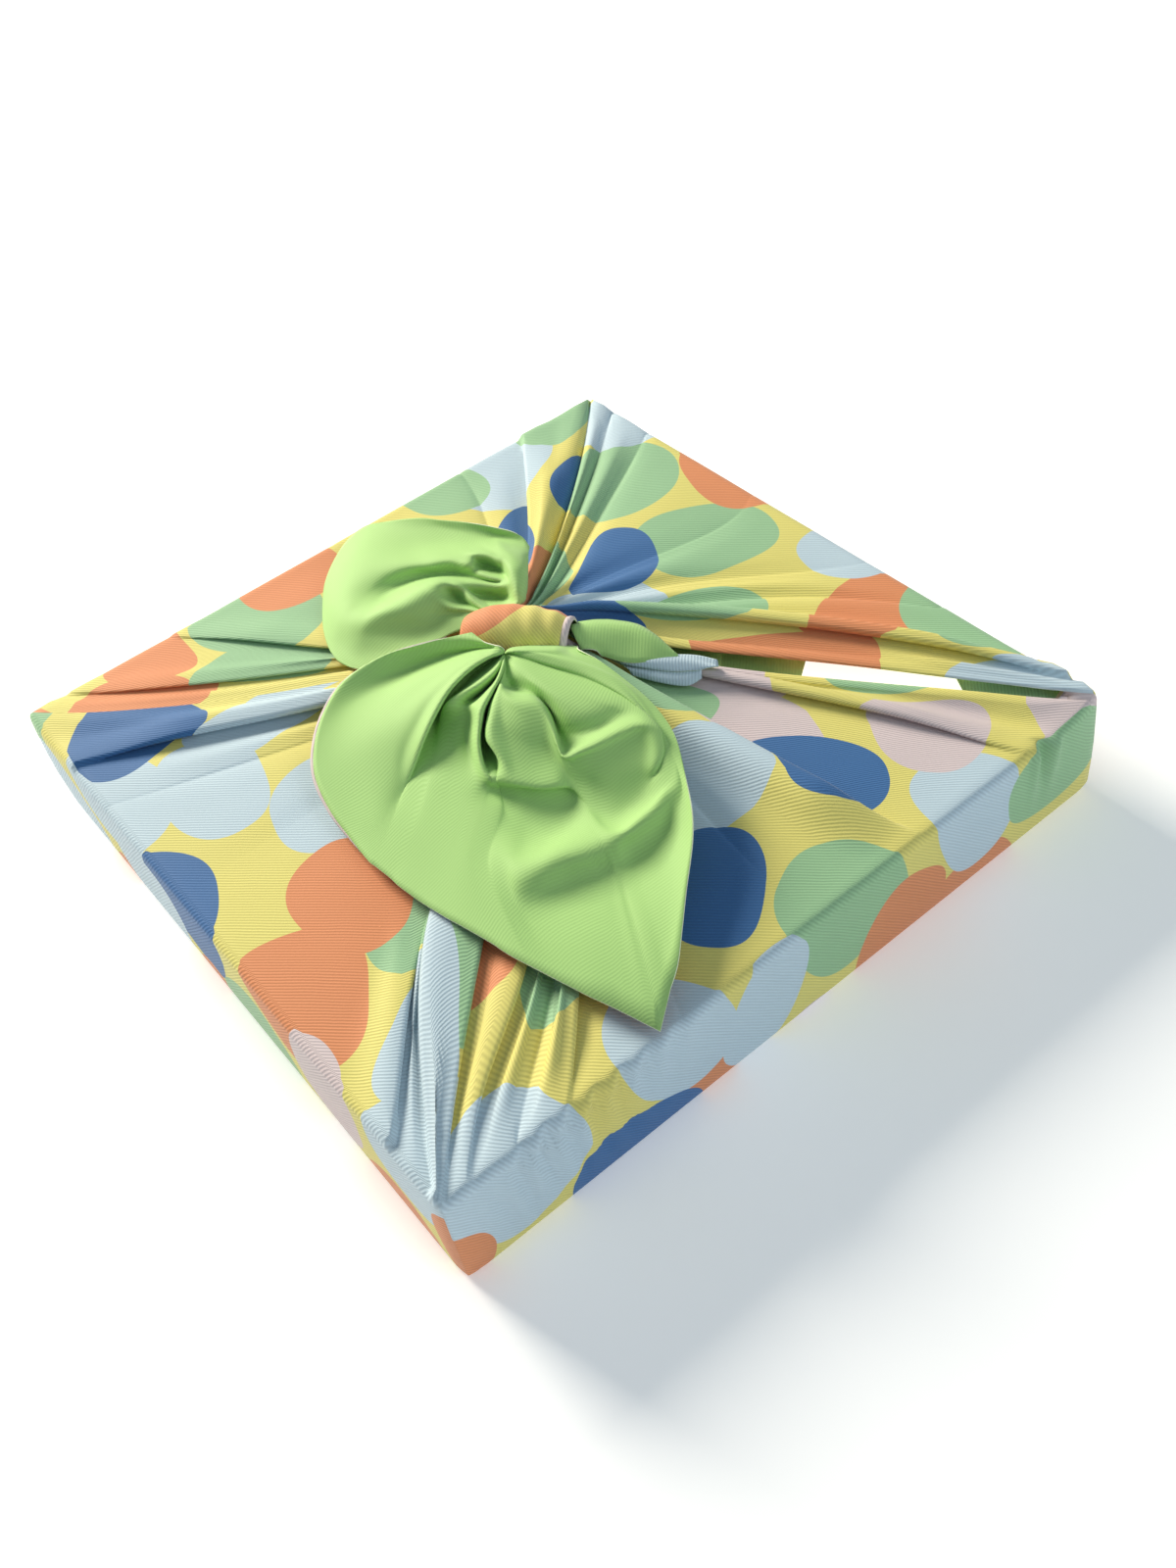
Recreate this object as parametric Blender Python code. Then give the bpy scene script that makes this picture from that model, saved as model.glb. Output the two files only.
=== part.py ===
"""A furoshiki: one square cloth gathered over a flat square gift box and tied on top.

Metres, +Z up. The origin is the middle of the parcel's underside.
+X and +Y run along the box's sides. The four corners are named front (-X -Y),
right (+X -Y), back (+X +Y) and left (-X +Y).
"""

import math
from collections import namedtuple

import bmesh
import bpy
import numpy as np

MM = 0.001

# Driving dimensions
PARCEL_SIDE = 270 * MM  # outside width of the wrapped parcel
PARCEL_HEIGHT = 42 * MM  # floor to the cloth at the top edges
CLOTH = 1.5 * MM  # thickness of the cloth
BOX_GAP = 2.3 * MM  # cloth to the box's walls and lid
FLOOR_GAP = 0.3 * MM  # box to the cloth that it stands on
EDGE_RADIUS = 4 * MM  # rounding of the cloth over the box's edges
KNOT_PLACE = (14 * MM, 19 * MM)  # plan position of the knot
KNOT_RING = 17 * MM  # radius where the gathers enter the knot
KNOT_RISE = 15 * MM  # how far the gathers climb to the knot
CLIMB_LENGTH = 26 * MM  # plan distance over which they climb

HALF_SIDE = PARCEL_SIDE / 2

# The folds that run from the knot to the parcel's edge, anticlockwise from the front corner.
# around: place along the edge, in sides, 0 at the front corner and 1 at the right one.
# bearing: where the fold enters the knot, degrees. via_x, via_y: a point it passes, in half sides.
# before, after: height in mm of the cloth on either side of the fold; crown: swell of the cloth after it.
Fold = namedtuple("Fold", "name around bearing via_x via_y before after crown")
FOLDS = (
    Fold("front corner crease", 0.000, 225, -0.56, -0.54, 0.0, 0.5, 2.0),
    Fold("front second crease", 0.030, 233, -0.52, -0.62, 0.5, 0.5, 3.0),
    Fold("front right lip", 0.160, 246, -0.48, -0.80, 2.5, 0.0, 1.5),
    Fold("front panel ridge", 0.680, 310, 0.26, -0.34, 3.0, 1.0, 1.5),
    Fold("front panel lip", 0.840, 328, 0.44, -0.42, 2.5, 0.5, 2.0),
    Fold("gap near edge", 0.970, 336, 0.56, -0.48, 2.0, 2.0, 0.0),
    Fold("gap far edge", 1.000, 346, 0.62, -0.44, 4.0, 4.0, 3.0),
    Fold("right strand roll", 1.060, 22, 0.66, -0.28, 5.0, 1.0, 1.0),
    Fold("back right crease", 1.260, 36, 0.56, -0.08, 2.0, 0.5, 1.5),
    Fold("back right soft fold", 1.560, 48, 0.60, 0.22, 1.0, 1.0, 2.0),
    Fold("back third crease", 1.900, 60, 0.56, 0.54, 0.0, 0.0, 3.5),
    Fold("back corner crease", 2.000, 70, 0.50, 0.60, 0.5, 0.5, 4.0),
    Fold("back left valley", 2.100, 82, 0.42, 0.62, 0.5, 0.0, 2.5),
    Fold("back left crease", 2.300, 98, 0.22, 0.66, 0.5, 0.5, 1.0),
    Fold("left upper crease", 2.790, 138, -0.28, 0.58, 3.0, 0.0, 2.0),
    Fold("left second crease", 2.950, 150, -0.42, 0.58, 0.5, 0.5, 1.5),
    Fold("left corner", 3.000, 158, -0.44, 0.50, 2.5, 2.5, 0.5),
    Fold("left lower lip", 3.130, 170, -0.48, 0.40, 3.0, 0.0, 1.5),
    Fold("front left panel", 3.420, 186, -0.56, 0.10, 0.0, 0.0, 0.5),
    Fold("front pleat", 3.900, 206, -0.66, -0.48, 0.0, 1.0, 0.5),
    Fold("front main lip", 3.970, 216, -0.64, -0.50, 0.0, 3.5, 2.0),
)
LIP = 0.9 * MM  # half the plan width of the step at a fold
LIP_SHIFT = 0.002  # the same at the parcel's edge, in sides
RAY_SPACING = 0.085  # sides between the lines of the mesh along the edge
TOP_ROWS = (0.0, 0.06, 0.14, 0.24, 0.36, 0.50, 0.64, 0.78, 0.90, 1.0)
EDGE_TURNS = (30, 60, 90)  # degrees round the top edge
GAP_ROWS = (3, 7)  # the rows between which the gap beside the right strand is open

# The knot: a barrel of cloth lying along the left-right diagonal.
KNOT_HALF = (24 * MM, 17 * MM, 12.5 * MM)
KNOT_HEIGHT = 13 * MM  # its middle above the parcel's top
KNOT_TURN = -39  # degrees from +X

# Each tail is a fan of cloth from the pinch where it leaves the knot.
# bearing: degrees; reach: mm in plan; edge: height of its rim above the parcel's top; swell: lift between.
Rib = namedtuple("Rib", "bearing reach edge swell")
FRONT_PINCH = (4 * MM, 12 * MM, 19 * MM)
FRONT_TAIL = (
    Rib(118, 30, 20, 2),
    Rib(140, 56, 14, 6),
    Rib(158, 76, 10, 10),
    Rib(182, 88, 8, 12),
    Rib(206, 100, 7, 9),
    Rib(226, 114, 6, 12),
    Rib(240, 132, 5, 10),
    Rib(247, 157, 4.5, 11),
    Rib(258, 130, 5, 7),
    Rib(272, 110, 6, 12),
    Rib(290, 84, 8, 13),
    Rib(314, 54, 11, 9),
    Rib(342, 30, 15, 4),
)
BACK_PINCH = (14 * MM, 30 * MM, 19 * MM)
BACK_TAIL = (
    Rib(40, 22, 22, 3),
    Rib(62, 46, 20, 5),
    Rib(84, 66, 20, 2),
    Rib(102, 80, 19, 4),
    Rib(120, 86, 18, 1),
    Rib(138, 82, 14, 5),
    Rib(156, 70, 9, 4),
    Rib(176, 58, 7, 6),
    Rib(200, 38, 9, 5),
)
TAIL_ROWS = (0.05, 0.18, 0.34, 0.52, 0.70, 0.86, 1.0)
TAIL_STEP = 12  # degrees between the lines of a tail's mesh


def edge_point(around, inset=0.0):
    """Plan point on the parcel's outline, `around` in sides from the front corner."""
    side = int(around % 4)
    along = (around % 4 - side) * 2 - 1
    half = HALF_SIDE - inset
    corners = ((along, -1), (1, along), (-along, 1), (-1, -along))
    return np.array(corners[side], float) * half


def outward(around):
    """Unit plan direction out of the parcel, turning evenly through each corner."""
    turn = 0.02
    normals = ((0, -1), (1, 0), (0, 1), (-1, 0))
    side = int(around % 4)
    part = around % 4 - side
    own = np.array(normals[side], float)
    if part < turn:
        other, share = np.array(normals[side - 1], float), 0.5 - part / turn / 2
    elif part > 1 - turn:
        other, share = np.array(normals[(side + 1) % 4], float), 0.5 - (1 - part) / turn / 2
    else:
        return own
    direction = own * (1 - share) + other * share
    return direction / np.linalg.norm(direction)


def fold_line(fold, rows):
    """Plan points of a fold from the knot to the edge, one for each row fraction."""
    angle = math.radians(fold.bearing)
    start = np.array(KNOT_PLACE) + KNOT_RING * np.array((math.cos(angle), math.sin(angle)))
    end = edge_point(fold.around, EDGE_RADIUS)
    via = np.array((fold.via_x, fold.via_y)) * HALF_SIDE
    control = 2 * via - (start + end) / 2
    t = np.asarray(rows)[:, None]
    return (1 - t) ** 2 * start + 2 * t * (1 - t) * control + t**2 * end


def smooth(low, high, value):
    """0 below low, 1 above high, with an even bend between."""
    share = np.clip((value - low) / (high - low), 0, 1)
    return share * share * (3 - 2 * share)


def top_rays():
    """The lines of the top, anticlockwise: (place around, plan points, cloth heights), and the gap's ray."""
    rows = np.array(TOP_ROWS)
    hold = 1 - 0.85 * smooth(0.66, 1.0, rows)
    lines = [fold_line(fold, rows) for fold in FOLDS]
    rays = []
    gap_ray = None
    for index, fold in enumerate(FOLDS):
        following = (index + 1) % len(FOLDS)
        last_line, line, next_line = lines[index - 1], lines[index], lines[following]
        span = (FOLDS[following].around - fold.around) % 4
        level_end = FOLDS[following].before
        if fold.before == fold.after:
            rays.append((fold.around, line, hold * fold.after * MM))
        else:
            steps_down = ((last_line, fold.before, -LIP_SHIFT), (next_line, fold.after, LIP_SHIFT))
            for neighbour, height, shift in steps_down:
                apart = np.linalg.norm(neighbour - line, axis=1)
                share = np.minimum(LIP / apart, 0.3)[:, None]
                rays.append((fold.around + shift, line + (neighbour - line) * share, hold * height * MM))
        if fold.name == "gap near edge":
            gap_ray = len(rays) - 1
        steps = max(2, round(span / RAY_SPACING)) if span > 0.05 else 1
        for step in range(1, steps):
            share = step / steps
            level = fold.after + (level_end - fold.after) * share + fold.crown * 4 * share * (1 - share)
            place = fold.around + span * share
            rays.append((place, line + (next_line - line) * share, hold * level * MM))
    return rays, gap_ray


def section(ray, depth):
    """Points of one line of the parcel, from the knot over the top, down the side and under the box."""
    around, plan, lift = ray
    from_ring = np.maximum(np.linalg.norm(plan - np.array(KNOT_PLACE), axis=1) - KNOT_RING, 0)
    climb = KNOT_RISE * np.exp(-from_ring / CLIMB_LENGTH)
    top = PARCEL_HEIGHT - depth + lift + climb * (1 - smooth(0.6, 1.0, np.array(TOP_ROWS)))
    points = [(x, y, z) for (x, y), z in zip(plan, top)]
    centre = edge_point(around, EDGE_RADIUS)
    out = outward(around)
    radius = EDGE_RADIUS - depth
    for turn in EDGE_TURNS:
        angle = math.radians(turn)
        x, y = centre + out * radius * math.sin(angle)
        level = PARCEL_HEIGHT - EDGE_RADIUS + radius * math.cos(angle) + lift[-1] * math.cos(angle)
        points.append((x, y, level))
    x, y = centre + out * radius
    points.append((x, y, PARCEL_HEIGHT / 2))
    for turn in (90, 45, 0):
        angle = math.radians(turn)
        x, y = centre + out * radius * math.sin(angle)
        points.append((x, y, EDGE_RADIUS - radius * math.cos(angle)))
    for share in (0.6, 0.25):
        points.append((centre[0] * share, centre[1] * share, depth))
    return points


def fan(faces, ring, hub, turned):
    """Triangles from a closed ring of vertices to one in its middle."""
    for a, b in zip(ring, ring[1:] + ring[:1]):
        faces.append((hub, b, a) if turned else (hub, a, b))


def make_object(name, vertices, faces):
    """A mesh object from vertices and faces, with its normals made to agree."""
    mesh = bpy.data.meshes.new(name)
    mesh.from_pydata([tuple(map(float, v)) for v in vertices], [], faces)
    made = bpy.data.objects.new(name, mesh)
    bpy.context.scene.collection.objects.link(made)
    shape = bmesh.new()
    shape.from_mesh(mesh)
    bmesh.ops.recalc_face_normals(shape, faces=shape.faces)
    shape.to_mesh(mesh)
    shape.free()
    mesh.shade_smooth()
    return made


def parcel():
    """The cloth round the box: an outer and an inner skin, joined round the open gap by the right strand."""
    rays, gap_ray = top_rays()
    count = len(rays)
    skins = [[section(ray, depth) for ray in rays] for depth in (0.0, CLOTH)]
    rows = len(skins[0][0])
    vertices = [point for skin in skins for line in skin for point in line]
    faces = []

    def at(skin, ray, row):
        return (skin * count + ray % count) * rows + row

    for ray in range(count):
        for row in range(rows - 1):
            if ray == gap_ray and GAP_ROWS[0] <= row < GAP_ROWS[1]:
                continue
            for skin, order in ((0, (0, 1, 2, 3)), (1, (3, 2, 1, 0))):
                corners = (
                    at(skin, ray, row),
                    at(skin, ray, row + 1),
                    at(skin, ray + 1, row + 1),
                    at(skin, ray + 1, row),
                )
                faces.append([corners[i] for i in order])
    for row in range(*GAP_ROWS):
        for ray in (gap_ray, gap_ray + 1):
            faces.append((at(0, ray, row), at(0, ray, row + 1), at(1, ray, row + 1), at(1, ray, row)))
    for row in GAP_ROWS:
        ends = (at(0, gap_ray, row), at(0, gap_ray + 1, row), at(1, gap_ray + 1, row), at(1, gap_ray, row))
        faces.append(ends)
    for skin, depth in ((0, 0.0), (1, CLOTH)):
        turned = bool(skin)
        vertices.append((*KNOT_PLACE, PARCEL_HEIGHT + KNOT_RISE - depth))
        fan(faces, [at(skin, ray, 0) for ray in range(count)], len(vertices) - 1, turned)
        vertices.append((0.0, 0.0, depth))
        fan(faces, [at(skin, ray, rows - 1) for ray in range(count)], len(vertices) - 1, not turned)
    return make_object("parcel", vertices, faces)


def tail_lines(pinch, ribs):
    """Lines of a tail from its pinch to its rim: every rib, with evenly spaced lines between them."""
    table = np.array(ribs, float)
    around = []
    for start, end in zip(table[:-1, 0], table[1:, 0]):
        around.extend(np.linspace(start, end, max(1, round((end - start) / TAIL_STEP)), endpoint=False))
    around.append(table[-1, 0])
    rows = np.array(TAIL_ROWS)
    lines = []
    for bearing in around:
        reach, edge, swell = (np.interp(bearing, table[:, 0], table[:, column]) * MM for column in (1, 2, 3))
        angle = math.radians(bearing)
        x = pinch[0] + reach * rows * math.cos(angle)
        y = pinch[1] + reach * rows * math.sin(angle)
        z = PARCEL_HEIGHT + pinch[2] * (1 - rows) + edge * rows + swell * np.sin(math.pi * rows)
        lines.append(np.stack([x, y, z], axis=1))
    return lines


def tail(name, pinch, ribs):
    """A free end of the cloth: a fan of lines from its pinch, as thick as the cloth."""
    lines = tail_lines(pinch, ribs)
    last_step, last_row = len(lines) - 1, len(TAIL_ROWS) - 1
    vertices = [(x, y, z - depth) for depth in (0.0, CLOTH) for line in lines for x, y, z in line]
    faces = []

    def at(skin, step, row):
        return (skin * (last_step + 1) + step) * (last_row + 1) + row

    for skin in (0, 1):
        for step in range(last_step):
            for row in range(last_row):
                near = (at(skin, step, row), at(skin, step, row + 1))
                far = (at(skin, step + 1, row + 1), at(skin, step + 1, row))
                faces.append(near + far)
    for step in range(last_step):
        for row in (0, last_row):
            faces.append((at(0, step, row), at(0, step + 1, row), at(1, step + 1, row), at(1, step, row)))
    for row in range(last_row):
        for step in (0, last_step):
            faces.append((at(0, step, row), at(0, step, row + 1), at(1, step, row + 1), at(1, step, row)))
    return make_object(name, vertices, faces)


def knot():
    """The tied middle: a barrel of cloth with the band over it swelling its waist."""
    bpy.ops.mesh.primitive_uv_sphere_add(segments=20, ring_count=10, radius=1.0)
    made = bpy.context.object
    made.name = "knot"
    turn = math.radians(KNOT_TURN)
    for vertex in made.data.vertices:
        x, y, z = vertex.co
        waist = 1 + 0.10 * math.cos(math.pi * x)
        across = (x * KNOT_HALF[0], y * KNOT_HALF[1] * waist, z * KNOT_HALF[2] * waist)
        vertex.co = (
            KNOT_PLACE[0] + across[0] * math.cos(turn) - across[1] * math.sin(turn),
            KNOT_PLACE[1] + across[0] * math.sin(turn) + across[1] * math.cos(turn),
            PARCEL_HEIGHT + KNOT_HEIGHT + across[2],
        )
    return made


def join(base, others):
    """Unites solids that are one piece of cloth."""
    for other in others:
        union = base.modifiers.new("join " + other.name, "BOOLEAN")
        union.operation = "UNION"
        union.solver = "EXACT"
        union.object = other
        bpy.context.view_layer.objects.active = base
        bpy.ops.object.modifier_apply(modifier=union.name)
        bpy.data.objects.remove(other, do_unlink=True)


def finish(name, colour, roughness):
    """A plain Principled material."""
    material = bpy.data.materials.new(name)
    material.use_nodes = True
    shader = material.node_tree.nodes["Principled BSDF"]
    shader.inputs["Base Color"].default_value = (*colour, 1)
    shader.inputs["Roughness"].default_value = roughness
    shader.inputs["Metallic"].default_value = 0.0
    return material


def wrapping_cloth():
    """The whole cloth as one solid."""
    made = parcel()
    ends = [knot(), tail("front tail", FRONT_PINCH, FRONT_TAIL), tail("back tail", BACK_PINCH, BACK_TAIL)]
    join(made, ends)
    made.name = "wrapping_cloth"
    made.data.materials.clear()
    made.data.materials.append(finish("printed cloth", (0.89, 0.74, 0.25), 0.6))
    return made


def gift_box():
    """The flat square box inside, standing on the cloth."""
    half = HALF_SIDE - CLOTH - BOX_GAP
    bottom = CLOTH + FLOOR_GAP
    top = PARCEL_HEIGHT - CLOTH - BOX_GAP
    bpy.ops.mesh.primitive_cube_add(size=1, location=(0, 0, (bottom + top) / 2))
    made = bpy.context.object
    made.scale = (2 * half, 2 * half, top - bottom)
    bpy.ops.object.transform_apply(location=True, rotation=True, scale=True)
    made.name = "gift_box"
    rounding = made.modifiers.new("soft edges", "BEVEL")
    rounding.width = 1.0 * MM
    rounding.segments = 2
    made.data.materials.append(finish("white board", (0.88, 0.88, 0.87), 0.55))
    return made


for old in list(bpy.data.objects):
    bpy.data.objects.remove(old, do_unlink=True)
gift_box()
wrapping_cloth()
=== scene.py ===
# %% [markdown]
# # A furoshiki parcel: one square cloth, gathered and tied over a flat gift box
#
# The cloth is printed on its face and plain lime on its reverse. It is laid under the box, its
# four corners come up over the lid, and one knot ties them. This lesson takes the imported solid
# model as a fixed frame and builds the same cloth again as a thin sheet, with its folds laid
# one by one, its cut pattern kept as a UV map, and its print and twill as shader nodes.

import math
from collections import namedtuple

import bpy
import numpy as np
from mathutils import Matrix, Vector
from mathutils.bvhtree import BVHTree


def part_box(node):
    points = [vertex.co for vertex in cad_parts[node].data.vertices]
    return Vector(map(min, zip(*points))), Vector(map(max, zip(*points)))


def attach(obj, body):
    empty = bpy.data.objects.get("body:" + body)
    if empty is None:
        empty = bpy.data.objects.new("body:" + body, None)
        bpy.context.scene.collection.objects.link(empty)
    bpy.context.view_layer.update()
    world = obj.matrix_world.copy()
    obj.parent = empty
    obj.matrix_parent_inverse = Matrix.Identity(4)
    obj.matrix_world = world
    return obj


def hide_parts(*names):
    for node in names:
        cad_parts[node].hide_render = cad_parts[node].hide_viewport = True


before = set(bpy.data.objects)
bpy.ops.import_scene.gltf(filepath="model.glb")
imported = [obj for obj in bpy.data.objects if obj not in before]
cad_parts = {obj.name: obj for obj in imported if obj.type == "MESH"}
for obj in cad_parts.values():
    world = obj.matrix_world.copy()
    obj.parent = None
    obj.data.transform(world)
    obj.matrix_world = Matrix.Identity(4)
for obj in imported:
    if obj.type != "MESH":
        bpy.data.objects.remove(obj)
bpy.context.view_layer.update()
MM = 0.001
low, high = (np.array(corner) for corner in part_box("wrapping_cloth"))
PARCEL_SIDE = 270 * MM
PARCEL_HEIGHT = 42 * MM
HALF = PARCEL_SIDE / 2
print("cloth box, mm:", np.round(low * 1000, 1), np.round(high * 1000, 1))

# %% [markdown]
# ## The camera
#
# The parcel is looked down on from its front corner, from about half a metre away and 46
# degrees up. The view is set by three directions: where the camera looks, what is up in the
# picture, and from those what is right.

# %% The camera
CAMERA_PLACE = Vector((-0.19032, -0.34037, 0.40925))
LOOK = Vector((0.35718, 0.58874, -0.72513)).normalized()
UP = Vector((0.52482, 0.51570, 0.67721))
UP = (UP - LOOK * UP.dot(LOOK)).normalized()
RIGHT = LOOK.cross(UP)
SENSOR = 36.0
FOCAL_PIXELS = 1565.78
IMAGE_HEIGHT = 1600

camera = bpy.data.objects.new("camera", bpy.data.cameras.new("camera"))
bpy.context.scene.collection.objects.link(camera)
turned = Matrix((RIGHT, UP, -LOOK)).transposed().to_4x4()
camera.matrix_world = Matrix.Translation(CAMERA_PLACE) @ turned
camera.data.sensor_width = SENSOR
camera.data.lens = FOCAL_PIXELS / IMAGE_HEIGHT * SENSOR
camera.data.clip_start = 0.01
bpy.context.scene.camera = camera
print("focal length:", round(camera.data.lens, 2), "mm")

# %% [markdown]
# ## Floor and light
#
# A parcel like this is shown on a white table under a large soft light. One broad panel
# overhead and a little behind gives the folds their shade, a weaker one from the front opens
# the sides, and a pale world fills the rest. The floor also shines a little by itself, as no
# real table does, which keeps it clear white and its shadow light. The standard view keeps the
# print's colours clear.

# %% Floor and lights
def plain_material(name, colour, roughness):
    """A material with a Principled shader, and that shader."""
    material = bpy.data.materials.new(name)
    material.use_nodes = True
    shader = material.node_tree.nodes["Principled BSDF"]
    shader.inputs["Base Color"].default_value = (*colour, 1)
    shader.inputs["Roughness"].default_value = roughness
    return material, shader


def soft_light(name, place, target, size, watts, colour):
    """A square panel of light that looks at a point."""
    data = bpy.data.lights.new(name, "AREA")
    data.shape = "SQUARE"
    data.size = size
    data.energy = watts
    data.color = colour
    lamp = bpy.data.objects.new(name, data)
    lamp.location = place
    lamp.rotation_euler = (Vector(target) - Vector(place)).to_track_quat("-Z", "Y").to_euler()
    bpy.context.scene.collection.objects.link(lamp)
    return lamp


FLOOR_SIDE = 12
FLOOR_DROP = 0.0005  # keeps the floor clear of the cloth's underside
FLOOR_GLOW = 0.22
SKY_COLOUR = (0.70, 0.87, 1.0, 1)
SKY_STRENGTH = 0.29

bpy.ops.object.select_all(action="DESELECT")
bpy.ops.mesh.primitive_plane_add(size=FLOOR_SIDE, location=(0, 0, -FLOOR_DROP))
floor = bpy.context.object
floor.name = "floor"
floor_material, floor_shader = plain_material("pale floor", (0.93, 0.93, 0.93), 0.9)
floor_shader.inputs["Emission Color"].default_value = (1.0, 0.99, 0.97, 1)
floor_shader.inputs["Emission Strength"].default_value = FLOOR_GLOW
floor.data.materials.append(floor_material)

soft_light("window panel", (-0.3, 2.35, 1.25), (0, 0, 0.04), size=1.0, watts=122.0, colour=(1.0, 0.925, 0.80))
soft_light("front panel", (0.7, -1.9, 1.25), (0, 0, 0.03), size=1.4, watts=16.0, colour=(0.90, 0.96, 1.0))
world = bpy.data.worlds.new("studio")
world.use_nodes = True
sky = world.node_tree.nodes["Background"]
sky.inputs["Color"].default_value = SKY_COLOUR
sky.inputs["Strength"].default_value = SKY_STRENGTH
bpy.context.scene.world = world
bpy.context.scene.view_settings.view_transform = "Standard"

# %% [markdown]
# ## How the cloth is laid out
#
# The folds all run from the knot to the parcel's edge. So the sheet is built as lines that
# start at the knot, run over the lid, turn down the side and pass under the box. Each line
# also keeps its place in the flat cut cloth, as if the parcel were opened out like a carton.

# %% Small helpers
def smooth(start, end, value):
    """0 before start, 1 after end, with an even bend between."""
    share = np.clip((np.asarray(value, float) - start) / (end - start), 0, 1)
    return share * share * (3 - 2 * share)


def hump(value, width):
    """1 at zero, falling to nothing on both sides."""
    return np.exp(-((np.asarray(value, float) / width) ** 2))


def edge_point(around, inset=0.0):
    """Plan point on the parcel's outline, `around` in sides from the front corner."""
    around = around % 4
    side = min(int(around), 3)
    along = (around - side) * 2 - 1
    corners = ((along, -1), (1, along), (-along, 1), (-1, -along))
    return np.array(corners[side], float) * (HALF - inset)


OUTWARD = np.array(((0, -1), (1, 0), (0, 1), (-1, 0)), float)


def outward(around):
    """Unit plan direction out of the parcel, turning evenly through each corner."""
    turn = 0.02
    around = around % 4
    side = min(int(around), 3)
    part = around - side
    own = OUTWARD[side]
    if part < turn:
        other, share = OUTWARD[side - 1], 0.5 - part / turn / 2
    elif part > 1 - turn:
        other, share = OUTWARD[(side + 1) % 4], 0.5 - (1 - part) / turn / 2
    else:
        return own
    direction = own * (1 - share) + other * share
    return direction / np.linalg.norm(direction)


# %% [markdown]
# ## The gathers
#
# Each row of the table is one fold, anticlockwise from the front corner. `around` says where
# it reaches the edge, in sides; a and b are two points that it passes, in mm from the middle.
# `before` and `after` are the cloth's heights on either side of it. Where `side` is 1 the cloth
# before the fold lies on top and turns back under itself, -1 is the other way round, and 0 is
# a plain crease. `hold` is how much of the relief is left where the fold turns over the edge.

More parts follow.
